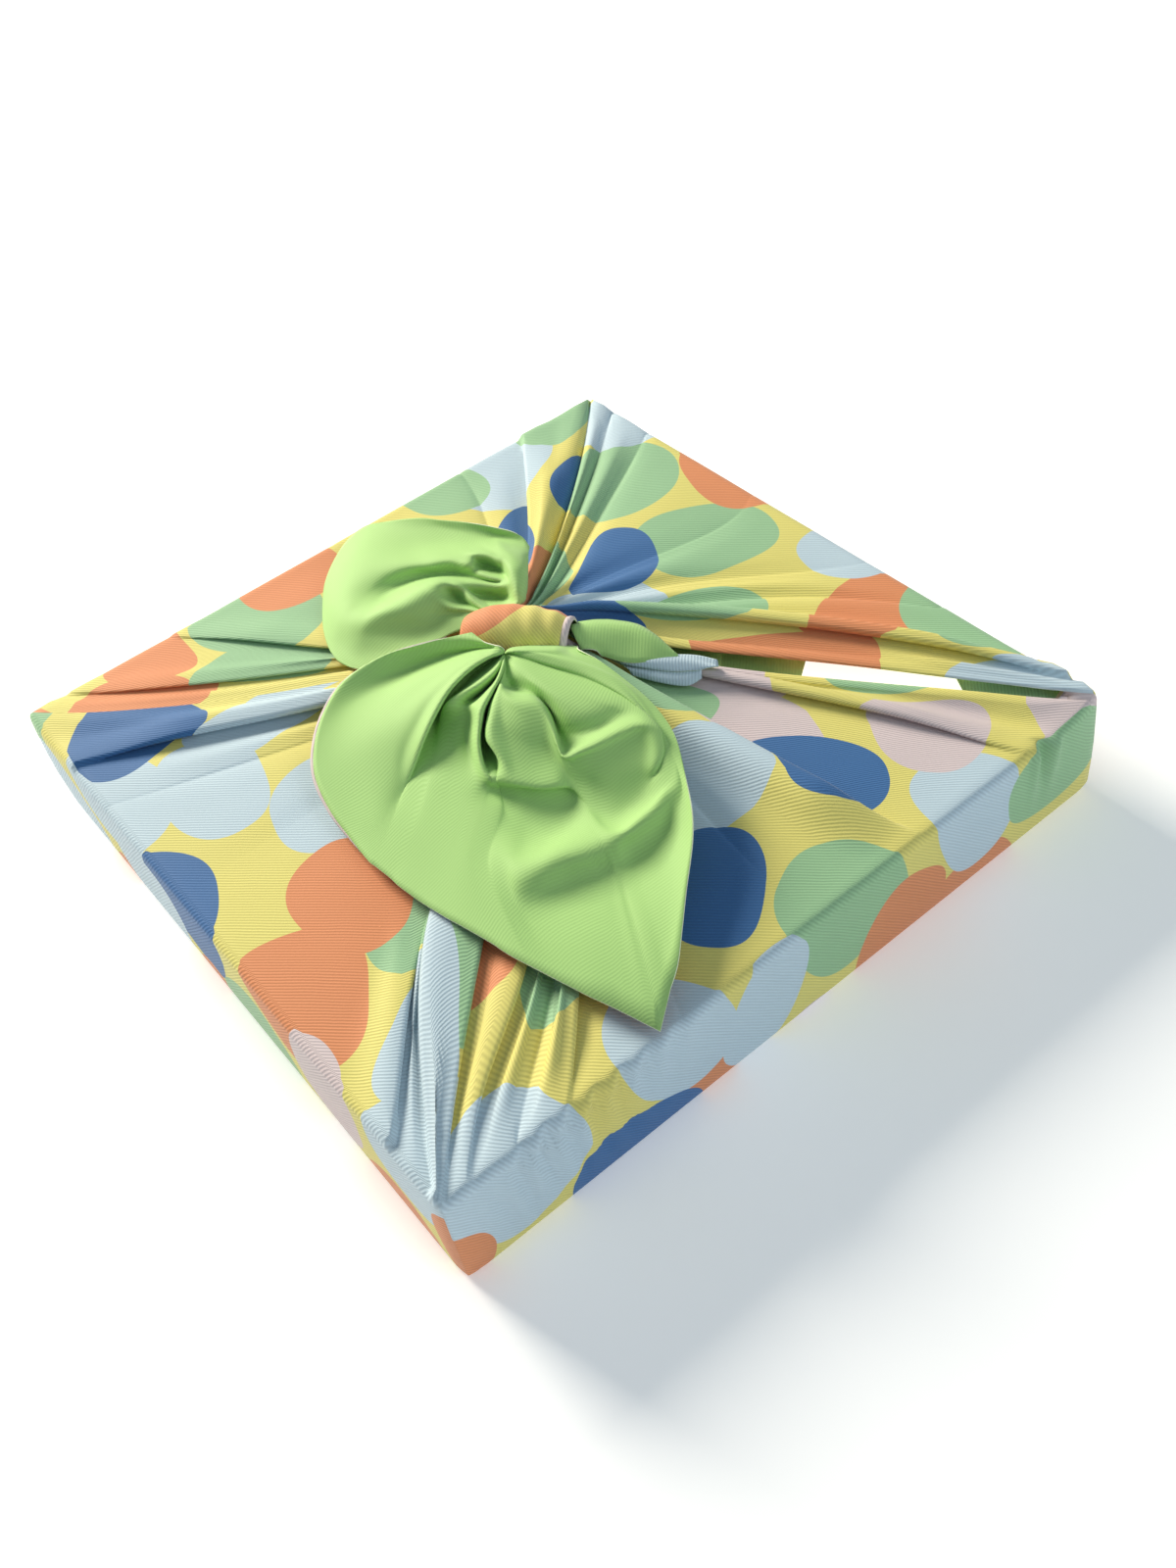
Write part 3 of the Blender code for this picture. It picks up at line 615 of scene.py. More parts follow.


# %% [markdown]
# ## The front tail
#
# The larger tail points to the front corner. It is lofted through lines laid one by one from the
# pinch to the rim: every crest and every valley of its folds is one line, so the lip of the
# left panel, the small tongue, the looped pleat with its slit, the full fold beside it and
# the round roll on the right each lie where they should, and can hang over what is below.
# Each point gives its station (0 at the pinch, 10 at the rim), its plan place and its height
# above the lid, in mm. The back tail is made the same way, from fewer lines.

# %% The front tail
FRONT_PINCH = (-1.6, 9.5, 19.5)
FRONT_LINES = (
    ("hem", ((0.5, -2.3, 7.3, 24), (1, -2.8, 8, 25.3), (2, -3.8, 10.6, 25.3), (4, -5, 14.3, 25),
        (6, -5.1, 17.8, 24.6), (8, -5, 20.9, 24.3), (10, -5, 22.8, 24))),
    ("under the hem", ((0.5, -2.8, 7.4, 24), (1, -3.4, 8.4, 25), (2, -4, 12.1, 24), (4, -5.9, 18.3, 22.8),
        (6, -9, 24.6, 21.8), (8, -13, 30.4, 20.8), (10, -16.9, 34.9, 20))),
    ("hem side", ((0.5, -3.1, 7.3, 24), (1, -3.8, 8.4, 24.8), (2, -4.3, 12.7, 23.3), (4, -7.3, 20.2, 20.7),
        (6, -12.6, 28.5, 18.3), (8, -21.5, 38.6, 16.2), (10, -31, 45.9, 15))),
    ("hem trough", ((0.5, -3.2, 7.3, 24), (1, -3.9, 8.6, 24.5), (2, -4.4, 13.7, 22), (4, -8.7, 23.2, 17.5),
        (6, -17.5, 33.1, 13), (8, -30.1, 41.2, 9), (9, -39.2, 44.4, 9), (10, -45.9, 48.6, 11.5))),
    ("trough side", ((0.5, -3.4, 7.2, 24), (1, -4.2, 8.3, 24.6), (2, -5.2, 12.8, 22.5), (4, -10.9, 21.3, 18.5),
        (6, -21.8, 30.1, 13.5), (8, -36.3, 39, 8), (9, -48.1, 40.4, 8.3), (10, -57.9, 42.5, 10))),
    ("first ridge", ((0.5, -3.6, 7, 24.2), (1, -4.8, 7.7, 25), (2, -6.8, 10.7, 24), (4, -14.1, 17.8, 20.8),
        (6, -26.4, 25, 16), (8, -43, 31.1, 11), (9, -55.6, 32.5, 9.5), (10, -68.2, 32.7, 9))),
    ("panel", ((0.5, -3.7, 7, 24.2), (1, -5.2, 7.6, 25), (2, -7.6, 9.9, 24.3), (4, -15.9, 14.9, 21.8),
        (6, -29.4, 19.5, 17), (8, -49.6, 20.7, 11.5), (9, -62.7, 21.6, 9), (10, -75.7, 21.3, 7.6))),
    ("panel side", ((0.5, -3.9, 6.9, 24.2), (1, -5.5, 7.3, 25), (2, -8.2, 9.3, 24.5), (4, -17.3, 12.9, 22.3),
        (6, -31.7, 14.1, 18), (8, -51.9, 9, 12), (9, -65.9, 5.6, 8), (10, -80.2, 5.2, 6))),
    ("dimple", ((0.5, -4, 6.8, 24.2), (1, -5.7, 7.2, 25), (2, -8.6, 8.8, 24.6), (4, -18, 11.4, 22.5),
        (5, -25.7, 10.9, 20.5), (6, -34, 9.4, 17.5), (7, -43.5, 6, 13), (7.6, -50.8, 3.2, 8.5),
        (8.2, -58.5, -3.1, 6.3), (9, -69.7, -9.1, 6.3), (10, -81.6, -8.6, 5))),
    ("lip", ((0.5, -3.8, 6.9, 23.8), (1, -6.1, 6.5, 24.8), (2, -9.1, 7.5, 24.5), (3, -14.1, 8.3, 23.7),
        (4, -20.1, 8.2, 22.6), (5, -27.3, 6.9, 21), (6, -35.7, 3.5, 18.4), (7, -44.4, -0.3, 14.8),
        (7.6, -50.6, -2.5, 10.5), (8.2, -57.1, -5.2, 6.6), (9, -68.8, -14, 6.3), (10, -82.7, -21.3, 5))),
    ("under the lip", ((0.5, -2.9, 8.4, 22), (1, -4, 9.8, 21), (2, -5.9, 13.6, 18.5), (3, -10, 16.9, 15.5),
        (4, -15.2, 18.9, 12.5), (5, -22.2, 18.4, 10), (6, -31.3, 14.1, 8.2), (7, -41.3, 7.8, 6.8),
        (7.6, -49.2, 0.4, 6.3), (8.2, -56.7, -6.6, 6.3), (9, -68.4, -16.3, 6.3), (10, -82.3, -26.2, 5))),
    ("hollow", ((0.5, -2.1, 9.6, 20.5), (1, -3, 10.6, 19), (2, -4.8, 14.1, 16), (3, -8.7, 16.7, 13),
        (4, -14, 18.2, 10), (5, -21.2, 17.6, 7.5), (6, -29.6, 13.4, 6), (7, -39.5, 4.2, 7.6), (7.6, -47.6, -4.5, 8),
        (8.2, -55.7, -12.1, 7.2), (9, -68.6, -22.2, 6.3), (10, -81.7, -32.1, 5))),
    ("tongue", ((0.5, -3.4, 7.1, 22), (1, -5.7, 4.8, 23.5), (2, -9, 3, 23.5), (3, -13.4, 2.1, 23),
        (4, -18.3, 2.6, 22), (5, -23.2, 4.4, 20.5), (5.6, -27.3, 5.8, 19), (6, -29.6, 7.2, 16.5),
        (6.4, -30.7, 8.2, 11), (7, -38.4, -0.3, 9.4), (7.6, -45.9, -8, 8.6), (8.2, -54, -15.8, 7.4),
        (9, -67.1, -27.6, 6.3), (10, -81.4, -39.1, 5))),
    ("tongue edge", ((0.5, -3.4, 7.1, 21.8), (1, -5.5, 4.9, 22.8), (2, -9.1, 1.9, 23.3), (3, -12.9, 1.3, 21.8),
        (4, -17.4, 1.7, 20.3), (5, -22.1, 2.9, 18.8), (5.6, -26.6, 3.5, 18.1), (6, -28.5, 3.9, 16.5),
        (6.4, -29.6, 4.7, 12), (7, -36.7, -3, 10), (7.6, -44.2, -11, 8.9), (8.2, -51.8, -18.8, 7.5),
        (9, -65.3, -33.2, 6.3), (10, -80.3, -47.8, 5))),
    ("crevice", ((0.5, -2.7, 8.2, 20.5), (1, -3.7, 7.7, 19.5), (2, -6.2, 7.1, 17), (3, -9.8, 6.3, 15),
        (4, -14.3, 6.1, 13.5), (5, -19.4, 5.5, 13.5), (5.6, -24.6, 2.2, 16.3), (6, -25.8, 1.8, 15.5),
        (6.4, -27.8, 1.2, 12.8), (7, -34.7, -5.9, 10.6), (7.6, -42, -13.9, 9.2), (8.2, -49.6, -22, 7.6),
        (9, -63.5, -37.8, 6.3), (10, -78.8, -57.4, 5.5))),
    ("shoulder", ((0.5, -3.6, 6.4, 22), (1, -6.3, 2.7, 23.8), (2, -9.8, -0.2, 23.5), (3, -13.6, -2.5, 23),
        (4, -18, -3.6, 22.2), (5, -22.3, -4.1, 20.8), (5.6, -24.4, -3, 18.5), (6, -25.1, -2, 14),
        (6.4, -28.5, -4.5, 11.3), (6.8, -32.1, -8.6, 9.4), (7.1, -35.7, -15.5, 9.6), (7.5, -39.8, -21.9, 9),
        (8.2, -47.1, -28.5, 7.5), (9, -62, -42.4, 6.3), (10, -76.6, -67, 6))),
    ("loop", ((0.5, -3.8, 6, 22.3), (1, -6.5, 2.2, 24), (2, -10.1, -1.3, 24.2), (3, -14.2, -4.2, 24),
        (4, -19, -6.9, 23.6), (5, -24.3, -9.7, 22.4), (5.6, -27, -11.9, 21), (6, -30, -14.6, 19.6),
        (6.4, -32.9, -17.9, 18), (6.8, -35.9, -22.8, 15.2), (7, -37.2, -25.7, 13.8), (7.2, -37.3, -28.3, 12.6),
        (7.6, -37.4, -26.3, 8.2), (8.2, -44.9, -31.6, 7.3), (9, -60.6, -45.2, 6.3), (10, -74.2, -78.1, 6.5))),
    ("pit left", ((0.5, -3.1, 7.3, 21), (1, -5.2, 4.7, 21), (2, -7.8, 2.9, 19.5), (3, -10.7, 1.7, 17.5),
        (4, -14.5, 0.5, 15), (5, -18.8, -0.7, 12), (5.6, -21.6, -2.9, 10), (6, -24.5, -5.3, 8), (6.4, -27.1, -8.3, 6),
        (6.8, -30.4, -14.5, 4.6), (7, -32.8, -19.9, 7.5), (7.2, -35.5, -26.6, 11.5), (7.4, -37, -29.5, 12.2),
        (7.5, -36.9, -28.6, 10), (7.6, -36.5, -27.3, 8), (8.2, -43.3, -33.7, 7.2), (9, -59.4, -47.6, 6.4),
        (10, -73.5, -82.4, 6.7))),
    ("slit", ((0.5, -2.8, 7.6, 20.5), (1, -4.1, 6.4, 19), (2, -6.2, 5.3, 16.5), (3, -8.8, 4.8, 14),
        (4, -12.6, 3.4, 11), (5, -16.7, 1.8, 8.5), (5.6, -20.1, -1.7, 7), (6, -23, -4.6, 5.5),
        (6.4, -25.7, -8.7, 4.5), (6.8, -28.6, -15.5, 4), (7, -31.7, -21.4, 7.5), (7.2, -34.8, -27.4, 11.3),
        (7.4, -36.4, -30.2, 12), (7.5, -36.2, -29.6, 10), (7.6, -35.7, -28.2, 7.8), (8.2, -41.8, -35.7, 7.1),
        (9, -58.3, -49.7, 6.5), (10, -72.7, -86.8, 7))),
    ("pit right", ((0.5, -2.9, 7.4, 20.7), (1, -4.8, 4.8, 20.5), (2, -7.5, 2.6, 19), (3, -10.2, 1.4, 17.5),
        (4, -13, 0.3, 15), (5, -18.3, -2, 12), (5.6, -21.7, -5.2, 10), (6, -24.1, -7.8, 8), (6.4, -25.7, -10.9, 6),
        (6.8, -27.8, -18.2, 4.8), (7, -30.8, -22.9, 7.5), (7.2, -34.4, -28.5, 11.5), (7.4, -36, -31, 12.2),
        (7.5, -35.7, -30.1, 10), (7.6, -34.9, -28.9, 7.6), (8.2, -40.5, -37.1, 6.9), (9, -57.3, -51.8, 6.6),
        (10, -71.5, -90.9, 7))),
    ("slit side", ((0.5, -3, 7, 21), (1, -5.5, 3.2, 22), (2, -9.4, -1, 22.5), (3, -12.8, -4.5, 23.5),
        (4, -15.4, -7.3, 24.5), (4.6, -20.2, -10.2, 23.3), (5.2, -24.3, -14, 22), (5.8, -28.3, -17.8, 20),
        (6.2, -30.4, -21.2, 18.5), (6.5, -30.6, -25.2, 17), (6.8, -31.7, -28.5, 15.2), (7, -33.8, -30.6, 13.8),
        (7.2, -35.7, -31.4, 12.5), (7.6, -34.1, -29.4, 7.2), (8.2, -40, -39.9, 6.1), (9, -56.1, -54.2, 6.8),
        (10, -70.3, -95.1, 7))),
    ("billow a", ((0.5, -2.9, 7.1, 21), (1, -5.1, 3.5, 21.5), (2, -8.6, -0.6, 21.5), (3, -11.9, -4, 22),
        (4, -15.5, -9.1, 24.8), (4.6, -19.1, -12.9, 23.3), (5.2, -22.4, -16.7, 21), (5.8, -25.4, -21.4, 18),
        (6.4, -28.8, -28.4, 15.2), (7, -32.7, -35.3, 13.4), (7.2, -33, -36.2, 12.7), (7.6, -31.6, -33.6, 8.6),
        (8.2, -40, -45.6, 5.2), (9, -54.7, -58.8, 8.2), (9.4, -61.2, -72.2, 5.8), (10, -68.3, -101.3, 6.5))),
    ("billow b", ((0.5, -2.7, 7.1, 21), (1, -4.7, 3.5, 21.5), (2, -8.2, -1.3, 21.5), (3, -10.7, -3.6, 20),
        (4, -15.8, -11.2, 25), (4.6, -18.5, -16.2, 23.3), (5.2, -21.2, -20.5, 21), (5.8, -23.7, -25.1, 17.5),
        (6.4, -26.6, -31.7, 14.7), (7, -30.5, -38.7, 13), (7.2, -30.8, -39.1, 12.2), (7.6, -29.3, -36.3, 8.8),
        (8.2, -38.9, -49.8, 4.5), (8.8, -52.7, -63.7, 10.2), (9.3, -58.8, -73, 4.4), (9.7, -62.1, -89.4, 6),
        (10, -66.4, -107.5, 6.2))),
    ("billow c", ((0.5, -2.6, 7.1, 21), (1, -4.5, 3.3, 21.7), (2, -7.6, -2.4, 22), (3, -9.5, -4.4, 19),
        (4, -15.8, -15.1, 25.2), (4.6, -17.7, -20.5, 23.3), (5.2, -19.8, -24.7, 20.5), (5.8, -21.7, -29, 17),
        (6.4, -24.3, -35, 14.2), (7, -28.1, -41.7, 12.6), (7.2, -28.5, -42.2, 11.9), (7.6, -27, -39.5, 8.8),
        (8.2, -36.6, -53.2, 4.2), (8.8, -47.5, -68, 11.6), (9.3, -52.2, -74.9, 4.2), (9.7, -58.7, -94, 6),
        (10, -64.8, -112.8, 6))),
    ("billow d", ((0.5, -2.4, 7.2, 21), (1, -4.3, 3, 22), (2, -7, -3.5, 22.5), (3, -8.9, -7.6, 19.5),
        (4, -14, -19.4, 25.4), (4.6, -15.8, -24.7, 23), (5.2, -17.6, -28.1, 20), (5.8, -19.2, -31.7, 16.5),
        (6.4, -21.9, -38.1, 14), (7, -25.2, -44.5, 12.4), (7.2, -25.4, -44.9, 11.6), (7.6, -23.8, -42.1, 8.6),
        (8.2, -33.5, -56.3, 4.2), (8.8, -41.2, -70.6, 12.2), (9.3, -43.5, -76.3, 4.2), (9.7, -53.1, -97.1, 6.2),
        (10, -63, -117.7, 5.7))),
    ("billow e", ((0.5, -2.3, 7.2, 21), (1, -4.1, 2.8, 22.3), (2, -6.3, -5, 23), (3, -7.4, -12, 20.5),
        (4, -10.6, -23.6, 25), (4.6, -12.8, -28.4, 22.8), (5.2, -14.8, -31.5, 19.8), (5.8, -16.7, -34.8, 16.3),
        (6.4, -19.5, -40.6, 14), (7, -22.3, -46.3, 12.4), (7.2, -22.5, -46.8, 11.7), (7.6, -20.9, -44.1, 8.4),
        (8.2, -29.6, -58.5, 4.6), (8.7, -35.7, -72.6, 12.5), (9.2, -36.1, -78.1, 4.4), (9.7, -49.4, -101, 6.6),
        (10, -61.3, -122.2, 5.3))),
    ("billow f", ((0.5, -2.2, 7.3, 21), (1, -4, 2.5, 22.6), (2, -5.7, -6.4, 23.5), (3, -5.8, -16, 20.5),
        (3.5, -5.7, -19.6, 16.5), (4, -11.9, -30.9, 22.5), (4.6, -14.4, -35.2, 20.3), (5.2, -16, -38.3, 18.3),
        (5.8, -16.9, -40.7, 15.8), (6.4, -18.1, -43.5, 13.3), (7, -19.7, -46.8, 11.2), (7.2, -19.6, -47.9, 10.3),
        (7.6, -18.5, -47, 8.2), (8.1, -24.8, -58.5, 5.4), (8.5, -30.6, -72.3, 12.7), (8.8, -31.5, -76.2, 8.4),
        (9.2, -32.6, -80.5, 5), (9.6, -45.6, -103.1, 7), (10, -59.9, -126.2, 5))),
    ("cusp", ((0.5, -2, 7.3, 21), (1, -3.7, 2.3, 22.8), (2, -5.1, -7.9, 23.8), (3, -5.3, -19.2, 21.5),
        (3.5, -5.9, -23.8, 13.5), (3.8, -10.6, -31.6, 12.5), (4, -15.9, -40.4, 17.8), (4.6, -16, -42.1, 16.8),
        (5.2, -16.4, -43.8, 15.3), (5.8, -16.9, -45.7, 13.4), (6.4, -17.4, -48.4, 11.5), (7, -18.5, -52.1, 9.6),
        (7.6, -20.5, -58.7, 8.2), (8.3, -26.8, -73, 12.6), (8.8, -28.6, -78, 8.6), (9.1, -29.8, -82.1, 5),
        (9.6, -42.8, -107, 7.1), (10, -57, -132.4, 4))),
    ("roll a", ((0.5, -1.9, 7.4, 21), (1, -3.4, 2, 23), (2, -4.4, -9.3, 24), (3, -5.2, -23.6, 22.5),
        (3.5, -6.8, -31.8, 19), (3.8, -7.7, -34.8, 14.5), (4, -11.6, -42.6, 19), (4.6, -12.3, -45.4, 18.2),
        (5.2, -13.1, -47.4, 16.7), (5.8, -13.8, -49.9, 14.2), (6.4, -15.4, -53.2, 11.1), (7, -18.6, -60.7, 8.3),
        (7.6, -21.7, -67.1, 9), (8.2, -24.4, -75.3, 12.8), (8.7, -25.4, -79.3, 8.8), (9.1, -26.4, -83.4, 5.2),
        (9.6, -37.6, -107.2, 7.3), (10, -48.9, -128.4, 5.5))),
    ("roll b", ((0.5, -1.7, 7.4, 21), (1, -3.1, 2, 23), (2, -3.8, -10.7, 24.2), (3, -4.1, -27.2, 23),
        (3.5, -3.9, -36, 20.5), (3.8, -3.8, -39.4, 17.3), (4, -6.6, -45.1, 20.4), (4.6, -7.3, -48.5, 19.2),
        (5.2, -8.3, -51.4, 17.2), (5.8, -10.2, -54.8, 14.5), (6.4, -13.2, -59.8, 10.8), (7, -17, -66.1, 8.8),
        (7.6, -19.8, -72.3, 10.5), (8.2, -21.1, -77.5, 13.2), (8.7, -21.2, -79.3, 8), (9.1, -21.8, -84.9, 6.3),
        (9.6, -30.4, -104.6, 7.9), (10, -40.8, -124, 8))),
    ("roll c", ((0.5, -1.6, 7.4, 21), (1, -2.6, 2.3, 23), (2, -2.8, -11.5, 24.2), (3, -2.2, -29.7, 23.3),
        (3.5, -0.3, -38.6, 21.5), (3.8, 1.9, -42, 19), (4, -0.1, -47.2, 21.7), (4.6, -0.3, -51, 20),
        (5.2, -1.9, -54.5, 17.7), (5.8, -4.9, -58.4, 15), (6.4, -8.3, -62.5, 11.5), (7, -11.5, -67.4, 9.8),
        (7.6, -13.8, -73, 11.5), (8.2, -14.8, -77.7, 13.8), (8.7, -14.9, -80.8, 9), (9.1, -15.9, -86.2, 7.5),
        (9.6, -22.9, -100.7, 9), (10, -31, -115.3, 9.5))),
    ("roll d", ((0.5, -1.4, 7.6, 21), (1, -2.1, 2.5, 23), (2, -1.3, -11.8, 24), (3, 0.7, -30.3, 23.5),
        (3.5, 4.2, -39.3, 22.3), (3.8, 7.1, -43.6, 20.5), (4, 5.5, -49.2, 22.7), (4.6, 5.6, -53.4, 21),
        (5.2, 3.7, -57.2, 18.5), (5.8, -0.1, -61, 15.7), (6.4, -3.1, -64.3, 12.5), (7, -6.3, -68.1, 11.2),
        (7.6, -7.8, -73, 12.5), (8.2, -8.8, -77.6, 14.4), (8.7, -8.4, -80.9, 10), (9.1, -10, -85.7, 9),
        (10, -21.8, -106.8, 11))),
    ("roll e", ((0.5, -1.1, 7.7, 21), (1, -1.4, 2.9, 23), (2, 0.8, -11.1, 23.5), (3, 4.4, -29.8, 23.5),
        (3.5, 8.6, -40.2, 22.8), (3.8, 10.5, -46.3, 21.8), (4, 9.3, -51.9, 23.2), (4.6, 8.6, -57.1, 22),
        (5.2, 6.3, -61.6, 19.8), (5.8, 2.4, -65.6, 17.2), (6.4, 1, -66.2, 14.5), (7, -1.6, -68.7, 13.5),
        (7.6, -1.7, -72.5, 14), (8.2, -1.8, -75.8, 14.8), (8.7, -2.5, -80.1, 12), (9.1, -4, -84.8, 12),
        (10, -7.6, -94.2, 14))),
    ("roll end", ((0.5, -0.9, 7.9, 21), (1, -0.7, 3.2, 23), (2, 3.6, -8.7, 22.5), (3, 8.9, -26.1, 22.5),
        (3.5, 11.8, -38.2, 22.5), (3.8, 12.9, -45.6, 22.3), (4, 12.3, -52.1, 21.8), (5, 9.4, -61, 20),
        (6, 7.1, -64.1, 18), (7, 4, -67.5, 16.8), (8, 2.7, -74.5, 15.8), (9, 1.6, -80.1, 15.5),
        (10, -1.6, -87.4, 15.8))),
    ("right trough", ((0.5, -0.8, 7.9, 21), (1, -0.6, 2.9, 23.3), (2, 3.6, -8.3, 23.8), (3, 9.4, -22.9, 23.6),
        (4, 12.3, -38.5, 23.2), (5, 12.4, -47.4, 22), (6, 11.9, -54.3, 20), (7, 10.3, -60.5, 19), (8, 9.3, -64.7, 18),
        (9, 8, -69.3, 17.5), (10, 7.4, -73.3, 17.3))),
    ("right side a", ((0.5, -0.9, 7.4, 21.5), (1, -0.5, 2.6, 23.8), (2, 4, -7.1, 24.5), (4, 12.6, -27.4, 24),
        (6, 14.4, -41.1, 22.3), (8, 14.5, -51.3, 20.3), (10, 14.8, -60.1, 19))),
    ("right side b", ((0.5, -1.1, 7.1, 22), (1, -0.5, 2.8, 24), (2, 3.7, -4.8, 25), (4, 11.2, -19.5, 24.6),
        (6, 15.3, -30.8, 23.2), (8, 16.6, -39.1, 21.8), (10, 18, -45.8, 20))),
    ("right side c", ((0.5, -1.3, 6.8, 22.5), (1, -0.7, 3.3, 24.2), (2, 2.4, -2, 25), (4, 8.2, -10.5, 24.8),
        (6, 12.4, -18.6, 23.8), (8, 15.2, -25.3, 22.6), (10, 18.3, -30.1, 21))),
    ("right side d", ((0.5, -1.5, 6.5, 23), (1, -1.1, 3.8, 24.4), (2, 0.7, 0.8, 25), (4, 3.8, -3.2, 25),
        (6, 7.4, -7.1, 24.2), (8, 12.1, -12.4, 23.4), (10, 18, -17.6, 22))),
    ("top edge", ((0.5, -1.5, 6.7, 23), (1, -1.4, 4.6, 24.6), (2, 0.8, 1.7, 25.2), (4, 4.6, -2.1, 25),
        (6, 8.7, -5.5, 24.4), (8, 12.7, -8.1, 23.6), (10, 16.8, -9.9, 22))),
    ("under the band", ((0.5, 0.3, 10.2, 20), (1, 1.8, 10.1, 20), (2, 5, 8.7, 19.5), (4, 9.4, 5.6, 19),
        (6, 13.5, 2, 18.5), (8, 17.2, -1.2, 18), (10, 19.7, -4.3, 18))),
)


def spline(stations, points, wanted):
    """Values of a smooth curve through points at uneven stations."""
    stations, points = np.asarray(stations, float), np.asarray(points, float)
    step = np.diff(stations)[:, None]
    slope = np.diff(points, axis=0) / step
    tangent = np.empty_like(points)
    tangent[0], tangent[-1] = slope[0], slope[-1]
    tangent[1:-1] = (slope[:-1] * step[1:] + slope[1:] * step[:-1]) / (step[:-1] + step[1:])
    i = np.clip(np.searchsorted(stations, wanted, side="right") - 1, 0, len(stations) - 2)
    h = step[i]
    t = (np.asarray(wanted)[:, None] - stations[i][:, None]) / h
    return (
        points[i] * (2 * t**3 - 3 * t**2 + 1) + tangent[i] * h * (t**3 - 2 * t**2 + t)
        + points[i + 1] * (3 * t**2 - 2 * t**3) + tangent[i + 1] * h * (t**3 - t**2)
    )


FIRST_STATION, LAST_STATION = 0.03, 10
LINE_PULL = 0.6  # below 1, lines that lie close together get more than their share of columns
RESTING_PASSES = 160
LEVELLING_PASSES = 26
SKIRT = (0.62, 0.84)  # from the calm start to the full calm of a tail's outer part


def resting(grid):
    """How far each point is lifted to rest on the wrap; between places that touch it hangs like a tent."""
    touch = np.array([[above_wrap(point[:2], point[2]) - point[2] for point in column] for column in grid])
    lift = touch
    for _ in range(RESTING_PASSES):
        wide = np.pad(lift, 1, mode="edge")
        lift = np.maximum(touch, (wide[2:, 1:-1] + wide[:-2, 1:-1] + wide[1:-1, 2:] + wide[1:-1, :-2]) / 4)
    return lift


def loft(pinch, lines, columns, rows, softness):
    """A sheet through the lines: points (columns, rows, 3) in mm and their places in the flat tail."""
    at = np.linspace(FIRST_STATION, LAST_STATION, rows)
    drawn = np.array([spline([0.0, *(p[0] for p in line)], [pinch, *(p[1:] for p in line)], at) for _, line in lines])
    apart = np.linalg.norm(np.diff(drawn, axis=0), axis=2).max(axis=1)
    steps = np.concatenate([[0], np.cumsum(apart**LINE_PULL)])
    across = np.linspace(0, steps[-1], columns)
    grid = spline(steps, drawn.reshape(len(lines), -1), across).reshape(columns, rows, 3)
    lengths = np.cumsum(np.linalg.norm(np.diff(grid, axis=1), axis=2), axis=1)
    lengths = np.concatenate([np.zeros((columns, 1)), lengths], axis=1)
    share = (lengths / lengths[:, -1:])[..., None]
    flat = np.asarray(pinch[:2]) + (grid[:, -1:, :2] - pinch[:2]) * share
    grid = eased(grid, softness)
    grid[..., 2] += resting(grid)
    height = grid[..., 2].copy()
    for _ in range(LEVELLING_PASSES):
        height[1:-1, :-1] = height[1:-1, :-1] / 2 + (height[:-2, :-1] + height[2:, :-1]) / 4
    grid[..., 2] += (height - grid[..., 2]) * smooth(*SKIRT, np.linspace(0, 1, rows))
    return eased(grid, 1), flat


def sharpened(grid, at, reach=5):
    """Draws a rounded corner of the rim out to a point, with the cloth behind it."""
    rim = grid[:, -1]
    ahead, behind = rim[at + reach] - rim[at + 2 * reach], rim[at - reach] - rim[at - 2 * reach]
    across = rim[at - reach, :2] - rim[at + reach, :2]
    a, _ = np.linalg.lstsq(np.stack([ahead[:2], -behind[:2]], axis=1), across, rcond=None)[0]
    point = np.append(rim[at + reach, :2] + a * ahead[:2], rim[at, 2])
    hold = smooth(0.80, 1.0, np.linspace(0, 1, grid.shape[1]))[:, None]
    for step in range(-reach, reach + 1):
        end = rim[at + reach] if step > 0 else rim[at - reach]
        move = point + (end - point) * abs(step) / reach - rim[at + step]
        grid[at + step] = grid[at + step] + move * hold
    return grid


def reach_of(grid):
    """The least and the greatest x, y and height of a grid, rounded."""
    points = grid.reshape(-1, 3)
    return np.round(points.min(axis=0)), np.round(points.max(axis=0))


front_tail, front_flat = loft(FRONT_PINCH, FRONT_LINES, columns=176, rows=78, softness=2)
tip = int(np.argmin(front_tail[:, -1, 1]))
front_tail = sharpened(front_tail, tip)
print("front tail, mm:", *reach_of(front_tail))

# The hem of the front tail, seen along its top: a narrow pale edge of the printed side.
HEM_COLUMNS = slice(3, 44)
HEM_SECTION = ((-0.3, 0.05), (0.5, 0.15), (1.2, -0.4))  # mm out from the rim and up from it
HEM_TAPER = 0.6
hem_rim = front_tail[HEM_COLUMNS, -1]
hem_way = np.gradient(hem_rim, axis=0)
hem_way = np.stack([hem_way[:, 1], -hem_way[:, 0], 0 * hem_way[:, 0]], axis=1)
hem_way /= np.linalg.norm(hem_way, axis=1)[:, None]
hem_wide = np.sin(np.linspace(0, math.pi, len(hem_rim)))[:, None] ** HEM_TAPER
hem_points = np.stack([hem_rim + hem_way * hem_wide * out + (0, 0, up) for out, up in HEM_SECTION], axis=1)
